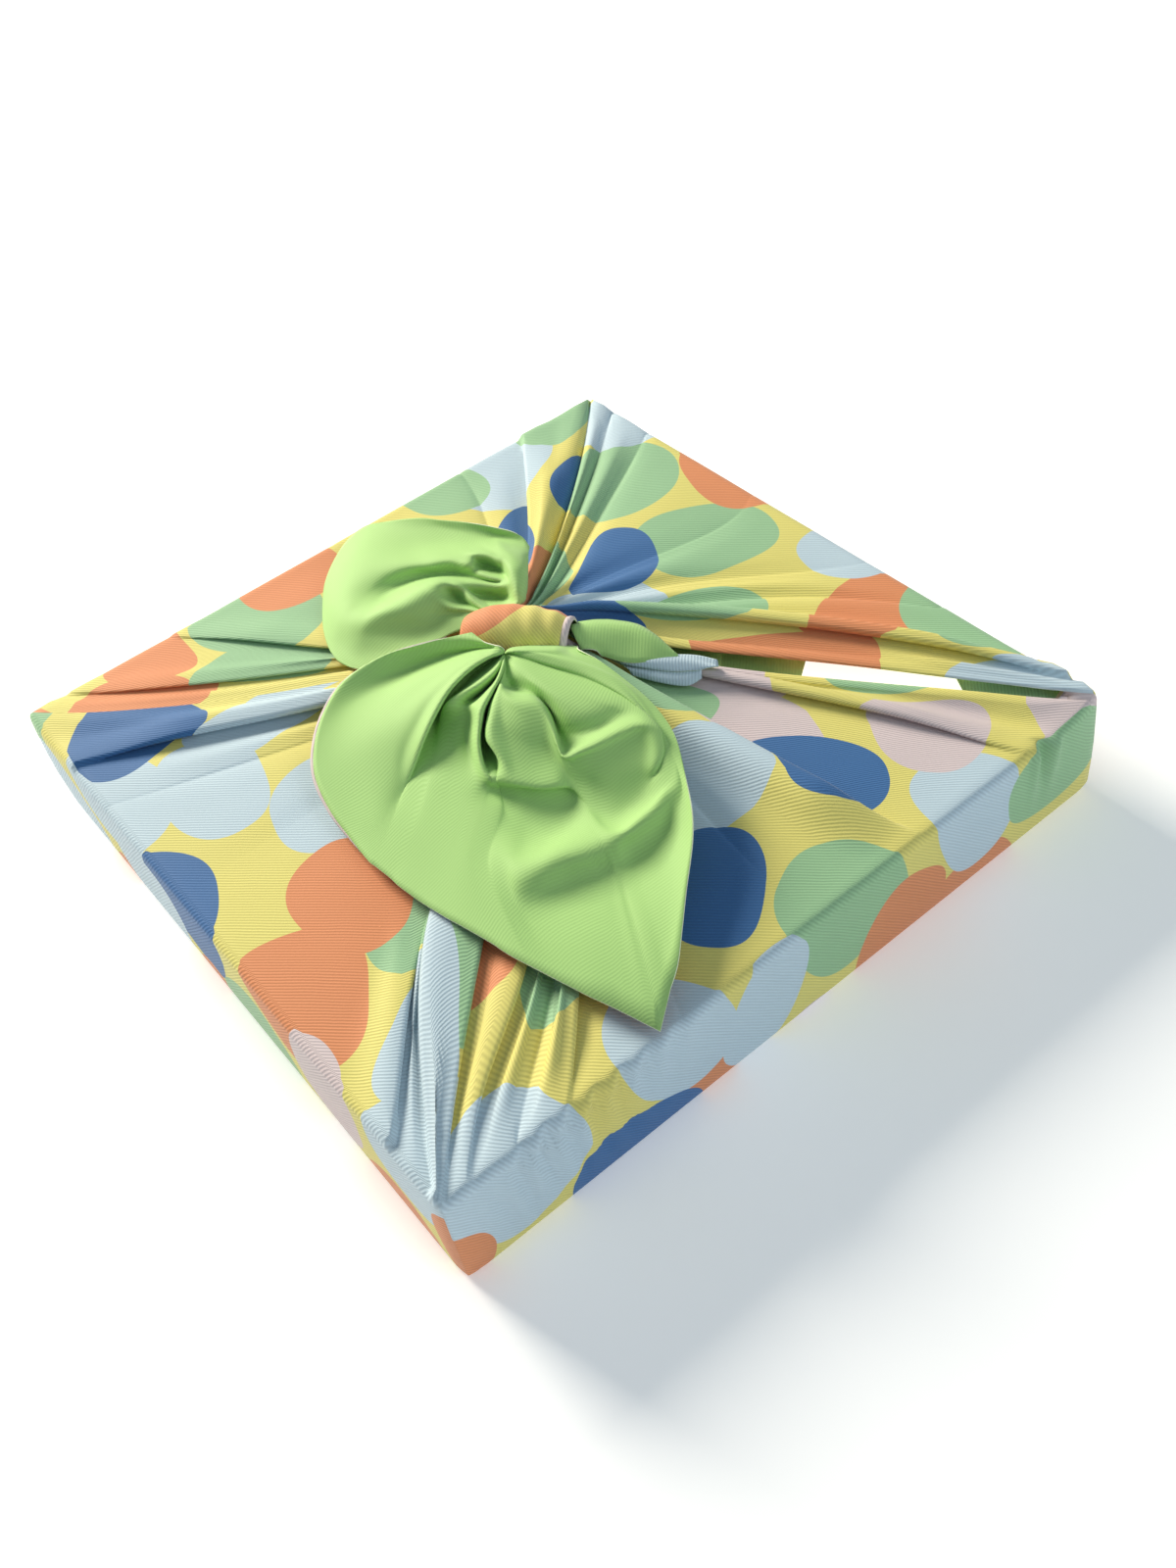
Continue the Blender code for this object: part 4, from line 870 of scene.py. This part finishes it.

# %% [markdown]
# ## The back tail
#
# The smaller tail falls to the back left. A fan of straight rays from the pinch would be
# quicker to write, but the small pocket folds beside the knot run across such rays. So this
# tail is lofted through its own given lines too, and eased more, as its folds are softer.

# %% The back tail
BACK_PINCH = (9.7, 27, 17)
BACK_LINES = (
    ("far edge", ((1, 19.9, 28.2, 16), (2, 23.9, 31.5, 17), (4, 28.6, 36.8, 18), (6, 32.4, 41.4, 19),
        (8, 36.7, 46.5, 19.5), (10, 41.2, 52, 18))),
    ("roll right", ((1, 18.4, 27, 18), (2, 22.2, 29.9, 20), (4, 27, 34.9, 22), (6, 30.6, 39.6, 23),
        (8, 36.2, 48.3, 21), (9, 40.3, 53.6, 19), (10, 42, 56.4, 19.5))),
    ("roll crest", ((1, 17.3, 27.1, 19), (2, 20.3, 30.1, 22), (4, 24.2, 35.2, 24.5), (6, 27.7, 41, 25),
        (7.5, 31.9, 48.9, 23.5), (8.5, 38, 58.9, 19), (10, 40.5, 60.4, 21.5))),
    ("roll left", ((1, 16.8, 28.5, 18.5), (2, 19.2, 31.4, 21), (3, 20.7, 33.1, 23), (4, 22.6, 36.6, 24.2),
        (5.2, 25, 42, 24.6), (6.4, 28.2, 48.2, 24.2), (7.4, 31.1, 54.3, 22.8), (8.2, 35.7, 63.3, 18.4),
        (10, 38, 65.8, 21.8))),
    ("loop right", ((1, 16.9, 31.3, 17), (2, 20.2, 37.5, 16), (2.6, 20.1, 37.3, 19), (3, 20.2, 36.8, 21),
        (3.5, 20.9, 37, 22), (4.2, 23.9, 42.7, 20), (5, 26.5, 49.2, 18), (5.8, 25.1, 47.5, 24), (6.6, 27.3, 52.3, 23),
        (7.3, 29.6, 56.9, 22.3), (8, 33.3, 65.5, 18.4), (8.8, 35, 70, 18.6), (10, 34.9, 72.4, 21.8))),
    ("loop mid", ((1, 16.3, 34.6, 15.5), (2, 18.9, 42.4, 13), (2.7, 18.7, 42.3, 17), (3, 17.7, 40.2, 20.8),
        (3.5, 21, 46.5, 17), (4, 18.8, 42.8, 22), (4.6, 23.8, 51.7, 17), (5.2, 25.9, 55.3, 17),
        (5.8, 24.2, 52.5, 23.6), (6.6, 25.7, 58.4, 21.8), (7.4, 29.1, 65.4, 18.8), (8.4, 30.4, 73.7, 18.6),
        (10, 30.8, 80.7, 21.2))),
    ("loop left", ((1, 15, 36.9, 15), (2, 16.6, 45.8, 12.8), (2.7, 16.3, 46.6, 16), (3, 15, 44.2, 20.6),
        (3.5, 18.9, 51.6, 16.2), (4.1, 17.6, 49.3, 21.3), (4.7, 21.4, 56.5, 17.5), (5.2, 22.9, 59, 18),
        (5.8, 21.9, 56.8, 23.2), (6.6, 22.4, 62.3, 21.3), (7.4, 25.5, 70.8, 18.2), (8.4, 27, 80.6, 18),
        (10, 27, 88.3, 20.2))),
    ("loop end", ((1, 13.3, 38.5, 15), (2, 14.3, 48.1, 13.2), (2.7, 13.2, 49.2, 16.5), (3, 12.5, 47.8, 20.4),
        (3.6, 16.8, 55.8, 16), (4.3, 17.5, 56.3, 19), (5, 17.4, 55.5, 22.3), (5.6, 19.2, 59.1, 22),
        (6.4, 19.2, 64.3, 21), (7.2, 22, 75.1, 17.6), (8.4, 23.7, 86.1, 17.4), (10, 23.8, 95.7, 19))),
    ("beyond the loop", ((1, 11.8, 39.9, 15), (2, 12.1, 48.2, 15), (2.6, 11.1, 50, 17.5), (3, 10.4, 50.8, 20.2),
        (3.7, 14.9, 60, 15.5), (4.6, 15.3, 63.2, 16.8), (5.4, 14.1, 64.7, 20), (6.2, 12.9, 69.3, 20.2),
        (7.2, 16.4, 81.7, 16.8), (8.4, 18.5, 93.2, 16.6), (10, 19.3, 102.9, 17.4))),
    ("small ridge", ((1, 8.4, 38.6, 17.5), (1.6, 8, 43, 18.8), (2.3, 9, 48.8, 19.3), (3, 7.4, 51.8, 21.5),
        (3.8, 12.1, 64.7, 15), (4.8, 11.4, 68.9, 16), (5.8, 8.8, 71.2, 19), (7, 11.2, 86.3, 16),
        (8.4, 12.6, 99.6, 15.2), (10, 14.3, 110.6, 14.8))),
    ("left pocket", ((1, 8.2, 42, 15), (2, 8.2, 52.3, 13.3), (2.6, 7.2, 55.6, 15.5), (3, 4, 53.4, 22.3),
        (3.9, 8.2, 69.2, 14), (5, 7, 74.2, 15), (6, 4.1, 77.5, 17.4), (7.2, 4.3, 90, 15.8), (8.6, 5.9, 105.1, 13.8),
        (10, 9.2, 117.7, 12))),
    ("low ridge", ((1, 5.7, 40.4, 16.5), (2, 1.6, 47, 17.5), (2.5, 1.4, 52.4, 18.5), (3, -0.2, 54.9, 22.3),
        (4, 3.8, 73, 13), (5, 2.4, 77.8, 13.8), (6, -0.6, 81.2, 15.8), (7.2, -1.8, 91.3, 15.2), (8.6, -1.3, 105, 13),
        (10, 1.7, 119.8, 9))),
    ("low fold", ((1, 4.9, 41.3, 15.5), (2, -0.2, 48.3, 15.8), (2.5, -2.4, 52.4, 18.4), (3, -4.8, 56.4, 21.6),
        (4, -1.8, 75.1, 12), (5, -3.8, 80.7, 12.3), (6, -6.3, 83.6, 13.8), (7.2, -8.6, 91.1, 13.8),
        (8.6, -8.2, 104, 11.5), (10, -8.7, 114.7, 7.5))),
    ("under the fold", ((1, 3.9, 41.1, 15), (2, -2.1, 49, 14), (3, -10.2, 57.9, 20.3), (4, -8.7, 74.9, 12),
        (5, -11, 80.1, 12), (6, -13.4, 83.5, 12.6), (7.2, -15.9, 89.4, 12.4), (8.6, -16.7, 99.1, 9.8),
        (10, -18.2, 107, 6))),
    ("low side a", ((1, 2.8, 40.7, 14.5), (2, -4.7, 48.2, 13.3), (3, -15.2, 59.8, 18.4), (4, -16.7, 70.5, 14.5),
        (5, -18.9, 76.3, 13), (6.5, -22, 82.3, 12), (8, -23.9, 89.3, 9.6), (10, -25.7, 97, 5))),
    ("low side b", ((1, 1.6, 40.2, 14), (2, -7.3, 47.6, 12.3), (3.2, -20.2, 63.1, 15.2), (4.2, -23.5, 69.1, 13.6),
        (6, -27, 76.3, 11), (8, -30, 81.1, 8), (10, -32.3, 86, 4.2))),
    ("low side c", ((1, 0.6, 39.6, 13.5), (2, -9.9, 46.7, 11.5), (3.2, -22.8, 61.3, 11), (5, -28.8, 66.9, 9.5),
        (7, -32.6, 72.4, 7), (10, -36.2, 76.3, 3.8))),
    ("low side d", ((1, -0.4, 39, 13), (2, -13.1, 45.1, 11), (4, -26.5, 56.8, 8), (7, -34.7, 62.1, 6),
        (10, -38, 67.7, 3.6))),
    ("low hem", ((1, -1.4, 38.5, 12.5), (2, -15.3, 41.8, 11), (4, -26.7, 49.7, 7.5), (7, -34, 53.3, 6),
        (10, -36.8, 58.4, 4))),
)
back_tail, back_flat = loft(BACK_PINCH, BACK_LINES, columns=122, rows=58, softness=5)
print("back tail, mm:", *reach_of(back_tail))


def on_lid(points):
    """Millimetres above the lid to metres above the floor."""
    placed = np.asarray(points, float) * MM
    placed[..., 2] += PARCEL_HEIGHT
    return placed


def cut_strip(start, end, count, across):
    """Places in the cut cloth, in mm, for a narrow strip near a corner of its hem."""
    return np.stack(np.meshgrid(np.linspace(start, end, count), across, indexing="ij"), axis=2)


TAIL_TURN = np.array(((0.64, 0.77), (-0.77, 0.64)))  # the ribs cross a tail
for name, points, flat in (("front tail", front_tail, front_flat), ("back tail", back_tail, back_flat)):
    turned = flat @ TAIL_TURN
    add_panel(name, on_lid(points), turned * MM, print_up=False)
hem_cut = cut_strip(280, 296, len(hem_rim), (245, 247, 249))
add_panel("front tail's hem", on_lid(hem_points), hem_cut * MM)

# %% [markdown]
# ## The knot
#
# The knot shows one smooth band of printed cloth drawn over a tight core. The band is a grid
# wrapped round a short barrel that lies along the left-right diagonal.

# %% The knot
KNOT_AXIS = np.array((0.60, -0.80, 0.0))
KNOT_ACROSS = np.array((0.80, 0.60, 0.0))
START_ROUNDING = 0.72  # how strongly the band closes at its hidden end
END_NARROWING, END_BEND = 0.24, 2.4
WRINKLES_ALONG, WRINKLES_SWAY, WRINKLES_TWIST = 15, 1.6, 2.2
LEAST_WRINKLE, WRINKLE_FROM = 0.2, 0.3


def barrel(name, middle, half, radii, turns, rows, wrinkle, cut_at):
    """A band of cloth round the knot: turns are its start and end angle, 90 is its top."""
    points, cut = [], []
    for angle in np.radians(np.linspace(turns[0], turns[1], rows[0])):
        row, flat = [], []
        for s in np.linspace(-1, 1, rows[1]):
            narrow = math.sqrt(1 - START_ROUNDING * s * s) if s < 0 else 1 - END_NARROWING * s**END_BEND
            wave = WRINKLES_ALONG * s + WRINKLES_SWAY * math.cos(angle) + WRINKLES_TWIST * math.sin(angle)
            ripple = wrinkle * (LEAST_WRINKLE + max(0.0, s + WRINKLE_FROM)) * math.sin(wave)
            wide, high = radii[0] * narrow + ripple, radii[1] * narrow + ripple
            p = np.array(middle) + KNOT_AXIS * (s * half) + KNOT_ACROSS * (wide * math.cos(angle))
            row.append(p + (0, 0, high * math.sin(angle)))
            flat.append((cut_at[0] + s * half, cut_at[1] + radii[0] * angle))
        points.append(row)
        cut.append(flat)
    add_panel(name, on_lid(points), np.array(cut) * MM, False)


barrel(
    "knot core", (12, 20, 10), half=16.5, radii=(11.0, 12), turns=(-80, 260), rows=(36, 22), wrinkle=0.3,
    cut_at=(200, 240),
)
barrel(
    "knot band", (10, 19.5, 13.5), half=19, radii=(11.5, 12.5), turns=(-50, 235), rows=(52, 42), wrinkle=0.26,
    cut_at=(221, -64),
)

# The band's pale hem, rolled outward at its end: mm along the knot, share wider than the band.
ROLLED_HEM = ((-0.6, 0.03), (0.3, 0.07), (1.3, 0.06), (2.0, -0.10))
band_end = panels[-1][1][:, -1]
from_middle = band_end - band_end.mean(axis=0)
hem_ring = np.stack([band_end + KNOT_AXIS * away * MM + from_middle * wider for away, wider in ROLLED_HEM], axis=1)
ring_cut = cut_strip(276, 300, len(band_end), (244, 246, 247, 249))
add_panel("knot hem", hem_ring, ring_cut * MM, False)

# %% [markdown]
# ## Strips beside the knot
#
# A short strand of the reverse comes out beside the band, and below it the folded hem of a
# corner shows as two narrow printed layers. Each is a small sheet through three or four rows
# of points, drawn smooth in both directions. The rows are given, and a strip that would
# sink into the wrap is lifted onto it.

# %% Small strips beside the knot
def strip(name, rows, cut_at, print_up, size=(10, 26), over=0.6):
    """A strip of cloth through rows of given points, resting on what lies under it."""
    grid = np.array([curve_through(row, size[1]) for row in rows])
    grid = np.array([curve_through(grid[:, i], size[0]) for i in range(size[1])]).transpose(1, 0, 2)
    for line in grid:
        for point in line:
            point[2] = above_wrap(point[:2], point[2]) + over
    add_panel(name, on_lid(grid), (grid[..., :2] + cut_at) * MM, not print_up)


GREEN_STRAND = (
    ((26, 9, 15), (35, 5, 14), (44, -4, 12), (46, -13, 11), (46, -23, 9)),
    ((23, 4, 19), (32, -1, 17), (40, -9, 15), (43, -16, 13), (46, -24, 9)),
    ((21, -2, 17), (27, -6, 16), (34, -13, 13), (40, -19, 12), (46, -25, 9)),
    ((20, -5, 14), (25, -10, 13), (30, -17, 11), (37, -22, 10), (46, -26, 8)),
)
strip("green strand", GREEN_STRAND, (150, 60), False)
HEM_TOP = (
    ((29, -8.5, 11), (36.5, -15.5, 10), (43.5, -21.5, 9), (51, -28.5, 8), (56, -34, 6)),
    ((29, -13, 12), (35, -20, 11), (42, -26, 10), (49, -32, 8), (54, -37, 6)),
    ((29, -15, 10), (34, -22, 9), (40, -29, 8), (47, -34, 7), (53, -38, 5)),
)
strip("folded hem", HEM_TOP, (28, -12), True)
HEM_LOW = (
    ((30, -14, 9), (37, -23, 9), (44, -30, 8), (50, -33, 7)),
    ((30, -17, 9), (35, -26, 8), (42, -33, 7), (48, -35, 7)),
    ((30, -19, 7), (35, -28, 6), (41, -35, 5), (47, -36, 5)),
)
strip("hem's under layer", HEM_LOW, (28, -12), True, over=0.0)
print("knot laid")

# %% [markdown]
# ## The corners folded in first
#
# Two corners of the cloth are folded flat over the lid before the other two are tied. They
# stay hidden, all but a dark strip in the gap on the right, where their edges frame a window
# on the white lid. How they lie out of sight is a guess: they stand for the cloth that a
# square of this size still has to put somewhere once the box, the knot and the tails are made.

# %% The hidden layers
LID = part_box("gift_box")[1][2]
print("room between lid and wrap:", round((PARCEL_HEIGHT - LID) * 1000, 2), "mm")


def flat_layer(name, corners, level, print_up, rows=14, cut_at=(310, 310)):
    """A four-sided flat layer of cloth, its corners anticlockwise in mm."""
    a, b, c, d = (np.array(p, float) * MM for p in corners)
    s = np.linspace(0, 1, rows)[:, None, None]
    t = np.linspace(0, 1, rows)[None, :, None]
    plan = (a * (1 - s) + b * s) * (1 - t) + (d * (1 - s) + c * s) * t
    points = np.concatenate([plan, np.full((rows, rows, 1), LID + level * MM)], axis=2)
    add_panel(name, points, plan + np.array(cut_at) * MM, not print_up)


flat_layer("first corner", ((-127, -126), (-28, -127), (72.5, -56.5), (84, -48.5)), 0.35, False)
flat_layer("second corner's tip", ((105, -105), (131.5, -132), (133.5, -108), (112, -92)), 1.5, True, 4, (-8, 152))
flat_layer("first corner's back", ((-127, -126), (84, -48.5), (126, 110), (-126, 126)), 0.35, False)
flat_layer("second corner", ((-126, -124), (-30, -126), (127, 40), (127, 124)), 0.95, False)
flat_layer("hem folded in", ((-122, -116), (-30, -112), (30, 30), (-116, 118)), 1.5, False, 4)
flat_layer("second corner's left", ((-126, -124), (127, 124), (40, 127), (-126, 122)), 0.95, False)

# %% [markdown]
# ## One mesh
#
# All the panels become one mesh. Points that coincide are merged first, then the faces are
# wound so that the printed side is the outer one, and only then is the sheet given its
# thickness, whose far side and rim take materials of their own.

# %% Sew the panels into one sheet
MERGE_WITHIN = 0.00002


def sew(name):
    """One mesh object from all the kept panels, with the cut places as its UV map."""
    vertices, faces, places, slots = [], [], [], []
    for name_of, points, cut, print_up in panels:
        first = len(vertices)
        lines, rows = points.shape[:2]
        vertices.extend(map(tuple, points.reshape(-1, 3)))
        flat = cut.reshape(-1, 2)
        for i in range(lines - 1):
            for j in range(rows - 1):
                corners = [i * rows + j, i * rows + j + 1, (i + 1) * rows + j + 1, (i + 1) * rows + j]
                if not print_up:
                    corners.reverse()
                faces.append([first + c for c in corners])
                slots.append(3 if name_of == "wrap" else 0)
                places.extend(flat[c] for c in corners)
    mesh = bpy.data.meshes.new(name)
    mesh.from_pydata(vertices, [], faces)
    mesh.polygons.foreach_set("material_index", slots)
    layer = mesh.uv_layers.new(name="cut")
    layer.data.foreach_set("uv", np.array(places).ravel())
    made = bpy.data.objects.new(name, mesh)
    bpy.context.scene.collection.objects.link(made)
    bpy.context.view_layer.objects.active = made
    made.select_set(True)
    bpy.ops.object.mode_set(mode="EDIT")
    bpy.ops.mesh.select_all(action="SELECT")
    bpy.ops.mesh.remove_doubles(threshold=MERGE_WITHIN)
    bpy.ops.object.mode_set(mode="OBJECT")
    mesh.shade_smooth()
    return made


bpy.ops.object.select_all(action="DESELECT")
cloth = sew("furoshiki_cloth")
area = sum(p.area for p in cloth.data.polygons)
print(len(cloth.data.polygons), "faces,", round(area, 3), "m2 of cloth")

# %% [markdown]
# ## The print and the weave
#
# The cotton is printed with loose rounded pebbles in five colours on yellow, some over others.
# Two layers of cells are laid over the cut cloth: each cell holds one pebble, turned and
# stretched by its own random colour. The ribs of the twill run on the cut's diagonal, so they
# turn with every panel. The reverse is plain lime, and the cut edge is pale with yarn ends.

# %% Node helpers
CLOTH_COLOURS = {
    "orange": (0.740, 0.275, 0.115),
    "pale blue": (0.530, 0.660, 0.735),
    "sage": (0.320, 0.545, 0.300),
    "pink": (0.690, 0.575, 0.575),
    "blue": (0.045, 0.150, 0.360),
}
YELLOW = (0.760, 0.680, 0.190)
LIME = (0.390, 0.640, 0.205)


class Nodes:
    """Short ways to add linked nodes to a material."""

    def __init__(self, material):
        self.tree = material.node_tree
        self.shader = self.tree.nodes["Principled BSDF"]

    def add(self, kind, sockets=(), **settings):
        made = self.tree.nodes.new(kind)
        for name, value in settings.items():
            setattr(made, name, value)
        for key, value in dict(sockets).items():
            if isinstance(value, bpy.types.NodeSocket):
                self.tree.links.new(value, made.inputs[key])
            else:
                made.inputs[key].default_value = value
        return made

    def math(self, operation, a, b=0.0, clamp=False):
        return self.add("ShaderNodeMath", {0: a, 1: b}, operation=operation, use_clamp=clamp).outputs[0]

    def vector(self, operation, a, b):
        return self.add("ShaderNodeVectorMath", {0: a, 1: b}, operation=operation).outputs[0]

    def mix(self, factor, a, b, blend="MIX"):
        made = self.add("ShaderNodeMix", {0: factor, 6: a, 7: b}, data_type="RGBA", blend_type=blend)
        return made.outputs[2]

    def parts(self, vector):
        return self.add("ShaderNodeSeparateXYZ", {0: vector}).outputs

    def noise(self, vector, scale, detail=2.0, roughness=0.5):
        values = {"Vector": vector, "Scale": scale, "Detail": detail, "Roughness": roughness}
        return self.add("ShaderNodeTexNoise", values)

    def spread(self, value, taken, given):
        return self.add("ShaderNodeMapRange", {0: value, 1: taken[0], 2: taken[1], 3: given[0], 4: given[1]}).outputs[0]

    def to_shader(self, name, socket):
        self.tree.links.new(socket, self.shader.inputs[name])


# %% Pebbles
PEBBLE_PITCH = 0.064
PEBBLE_LAYERS = ((0.0, 0.0, 0.43), (10.5, 7.5, 0.38))  # where a layer's cells start, and its pebbles' radius
PEBBLE_SQUARENESS = 2.4  # 2 would be an ellipse
CELL_RANDOMNESS = 0.42
PEBBLE_BEND, PEBBLE_BEND_SCALE = 0.24, 0.9  # takes the pebbles' outlines off a plain oval
FULL_TURN = 6.283
SLIM_LEAST, SLIM_MORE = 1.08, 0.5  # how much narrower than long a pebble is


def pebble(nodes, place, feature):
    """One nearest cell's pebble: 1 inside it, with the cell's three random numbers."""
    values = {"Vector": place, "Scale": 1.0, "Randomness": CELL_RANDOMNESS}
    cell = nodes.add("ShaderNodeTexVoronoi", values, voronoi_dimensions="2D", feature=feature)
    red, green, blue = nodes.parts(cell.outputs["Color"])
    away = nodes.vector("SUBTRACT", place, cell.outputs["Position"])
    turn = nodes.math("MULTIPLY", green, FULL_TURN)
    turned = nodes.add("ShaderNodeVectorRotate", {"Vector": away, "Angle": turn}, rotation_type="Z_AXIS").outputs[0]
    x, y, _ = nodes.parts(turned)
    slim = nodes.math("MULTIPLY_ADD", blue, SLIM_MORE)
    slim.node.inputs[2].default_value = SLIM_LEAST
    wide = nodes.math("POWER", nodes.math("ABSOLUTE", x), PEBBLE_SQUARENESS)
    high = nodes.math("POWER", nodes.math("MULTIPLY", nodes.math("ABSOLUTE", y), slim), PEBBLE_SQUARENESS)
    return nodes.math("ADD", wide, high), red, blue


def pebble_layer(nodes, place, ground, radius):
    """Lays one layer of pebbles over a ground colour."""
    limit = radius**PEBBLE_SQUARENESS
    first, first_red, first_rank = pebble(nodes, place, "F1")
    second, second_red, second_rank = pebble(nodes, place, "F2")
    in_first = nodes.math("LESS_THAN", first, limit)
    in_second = nodes.math("LESS_THAN", second, limit)
    over = nodes.math("GREATER_THAN", first_rank, second_rank)
    alone = nodes.math("SUBTRACT", 1.0, in_second)
    use_first = nodes.math("MULTIPLY", in_first, nodes.math("MAXIMUM", alone, over))
    chosen = nodes.add("ShaderNodeMix", {0: use_first, 2: second_red, 3: first_red}).outputs[0]
    ramp = nodes.add("ShaderNodeValToRGB", {"Fac": chosen})
    ramp.color_ramp.interpolation = "CONSTANT"
    stops = ((0.0, "pink"), (0.17, "orange"), (0.42, "pale blue"), (0.62, "sage"), (0.84, "blue"))
    for i, (start, name) in enumerate(stops):
        stop = ramp.color_ramp.elements[i] if i < 2 else ramp.color_ramp.elements.new(start)
        stop.position = start
        stop.color = (*CLOTH_COLOURS[name], 1)
    return nodes.mix(nodes.math("MAXIMUM", in_first, in_second), ground, ramp.outputs[0])


# %% [markdown]
# ## Twill
#
# Twill cotton has fine diagonal ribs, about one to the millimetre, with small unevenness in the
# yarn and a slight fading in patches. A picture of ribs would blur close up, so they are a sine
# wave across the cut's diagonal, bent a little by noise. The same height drives the colour, the
# bump and the roughness: the colour is painted darker in the ribs' grooves and a little lighter
# on their crests, as painted shade and highlight, and it also varies with the yarn.

# %% Twill
RIB_PITCH = 0.00108
WOBBLE_SCALE, WOBBLE_TURN = 60.0, 5.0
YARN_SCALE, YARN_ROUGHNESS = 1500.0, 0.6
RIB_SHARE, YARN_SHARE = 0.5, 0.55
FADING_SCALE = 14.0


def twill(nodes, uv, colour, depth, shade):
    """Adds diagonal ribs to a colour, with painted shade in their grooves and a painted highlight on their crests, and
    to a bump, and links both to the shader.
    """
    wobble = nodes.noise(uv, WOBBLE_SCALE, 3.0)
    u, v, _ = nodes.parts(uv)
    along = nodes.math("MULTIPLY", nodes.math("SUBTRACT", u, v), 2 * math.pi / RIB_PITCH / math.sqrt(2))
    wave = nodes.math("SINE", nodes.math("ADD", along, nodes.math("MULTIPLY", wobble.outputs[0], WOBBLE_TURN)))
    yarn = nodes.noise(uv, YARN_SCALE, 2.0, YARN_ROUGHNESS)
    ribs = nodes.math("MULTIPLY", wave, RIB_SHARE)
    raised = nodes.math("ADD", ribs, nodes.math("MULTIPLY", yarn.outputs[0], YARN_SHARE))
    # Painted shade and highlight: the colour is darker in the ribs' grooves and a little lighter on their crests; the
    # yarn noise in it is the yarn's own unevenness.
    rib_shade_and_yarn_tone = nodes.spread(raised, (-0.3, 0.8), (1.0 - shade, 1.0 + shade * 0.3))
    faded = nodes.noise(uv, FADING_SCALE, 4.0)
    patch = nodes.spread(faded.outputs[0], (0.3, 0.7), (0.965, 1.02))
    colour_with_rib_shade = nodes.mix(1.0, colour, nodes.math("MULTIPLY", rib_shade_and_yarn_tone, patch), "MULTIPLY")
    nodes.to_shader("Base Color", colour_with_rib_shade)
    bump = nodes.add("ShaderNodeBump", {"Height": raised, "Strength": 0.5, "Distance": depth})
    nodes.to_shader("Normal", bump.outputs[0])
    rough = nodes.spread(raised, (-0.5, 1.0), (0.78, 0.62))
    nodes.to_shader("Roughness", rough)
    nodes.shader.inputs["Sheen Weight"].default_value = 0.12
    nodes.shader.inputs["Sheen Roughness"].default_value = 0.45
    nodes.shader.inputs["Specular IOR Level"].default_value = 0.35


# %% [markdown]
# ## The three sides of the cloth
#
# The printed face, the plain lime reverse and the cut edge are three materials on one mesh.
# Solidify gives the far side the next slot and the rim the one after that. The wrap starts at
# a later slot, so it is printed on both sides: its reverse never shows, and this way no lime
# line flashes inside a narrow fold.

# %% Cloth materials
printed, _ = plain_material("printed twill", YELLOW, 0.7)
nodes = Nodes(printed)
uv = nodes.add("ShaderNodeUVMap", uv_map="cut").outputs[0]
scaled = nodes.vector("MULTIPLY", uv, (1 / PEBBLE_PITCH, 1 / PEBBLE_PITCH, 0.0))
bend = nodes.noise(scaled, PEBBLE_BEND_SCALE, 1.0)
centred = nodes.vector("SUBTRACT", bend.outputs["Color"], (0.5, 0.5, 0.5))
bent = nodes.vector("MULTIPLY", centred, (PEBBLE_BEND, PEBBLE_BEND, 0.0))
colour = nodes.add("ShaderNodeRGB").outputs[0]
colour.default_value = (*YELLOW, 1)
for x, y, radius in PEBBLE_LAYERS:
    place = nodes.vector("ADD", nodes.vector("ADD", scaled, bent), (x, y, 0.0))
    colour = pebble_layer(nodes, place, colour, radius)
twill(nodes, uv, colour, depth=0.00016, shade=0.16)

reverse, _ = plain_material("lime reverse", LIME, 0.7)
nodes = Nodes(reverse)
uv = nodes.add("ShaderNodeUVMap", uv_map="cut").outputs[0]
plain = nodes.add("ShaderNodeRGB").outputs[0]
plain.default_value = (*LIME, 1)
twill(nodes, uv, plain, depth=0.00006, shade=0.05)

FUZZ_SCALE = 2600.0
edge, _ = plain_material("cut edge", (0.80, 0.86, 0.62), 0.85)
nodes = Nodes(edge)
position = nodes.add("ShaderNodeTexCoord").outputs["Object"]
fuzz = nodes.noise(position, FUZZ_SCALE, 2.0)
nodes.to_shader("Base Color", nodes.mix(fuzz.outputs[0], (0.70, 0.82, 0.42, 1), (0.93, 0.93, 0.84, 1)))

CLOTH_THICKNESS = 0.00042
for material in (printed, reverse, edge, printed, printed, printed):
    cloth.data.materials.append(material)
thick = cloth.modifiers.new("cloth thickness", "SOLIDIFY")
thick.thickness = CLOTH_THICKNESS
thick.offset = -1
thick.material_offset = 1
thick.material_offset_rim = 2
bpy.context.view_layer.objects.active = cloth
bpy.ops.object.modifier_apply(modifier=thick.name)
print(len(cloth.data.polygons) * 2, "triangles")

# %% [markdown]
# ## White board
#
# The lid is taken to be plain white board, seen only through the gap. The box keeps its CAD
# node and shape and takes only a material, off-white with faint paper fibre in its colour and
# bump. Real board doesn't shine by itself: this one is given a strong glow, only so that the
# gap reads pure white. With hardly any glow it looks pale grey, as little light gets down there.

# %% White board for the box
FIBRE_SCALE = 700.0
BOARD_GLOW = 0.8
board, _ = plain_material("white board", (0.93, 0.93, 0.92), 0.5)
nodes = Nodes(board)
position = nodes.add("ShaderNodeTexCoord").outputs["Object"]
fibre = nodes.noise(position, FIBRE_SCALE, 4.0, 0.6)
nodes.to_shader("Base Color", nodes.mix(fibre.outputs[0], (0.95, 0.95, 0.94, 1), (0.89, 0.89, 0.88, 1)))
bump = nodes.add("ShaderNodeBump", {"Height": fibre.outputs[0], "Strength": 0.2, "Distance": 0.0001})
nodes.to_shader("Normal", bump.outputs[0])
nodes.shader.inputs["Emission Color"].default_value = (1.0, 1.0, 1.0, 1)
nodes.shader.inputs["Emission Strength"].default_value = BOARD_GLOW
bpy.data.objects[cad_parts["gift_box"].name].material_slots[0].material = board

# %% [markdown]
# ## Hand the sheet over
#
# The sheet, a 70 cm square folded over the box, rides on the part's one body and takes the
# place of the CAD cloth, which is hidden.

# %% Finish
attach(cloth, "root")
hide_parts("wrapping_cloth")
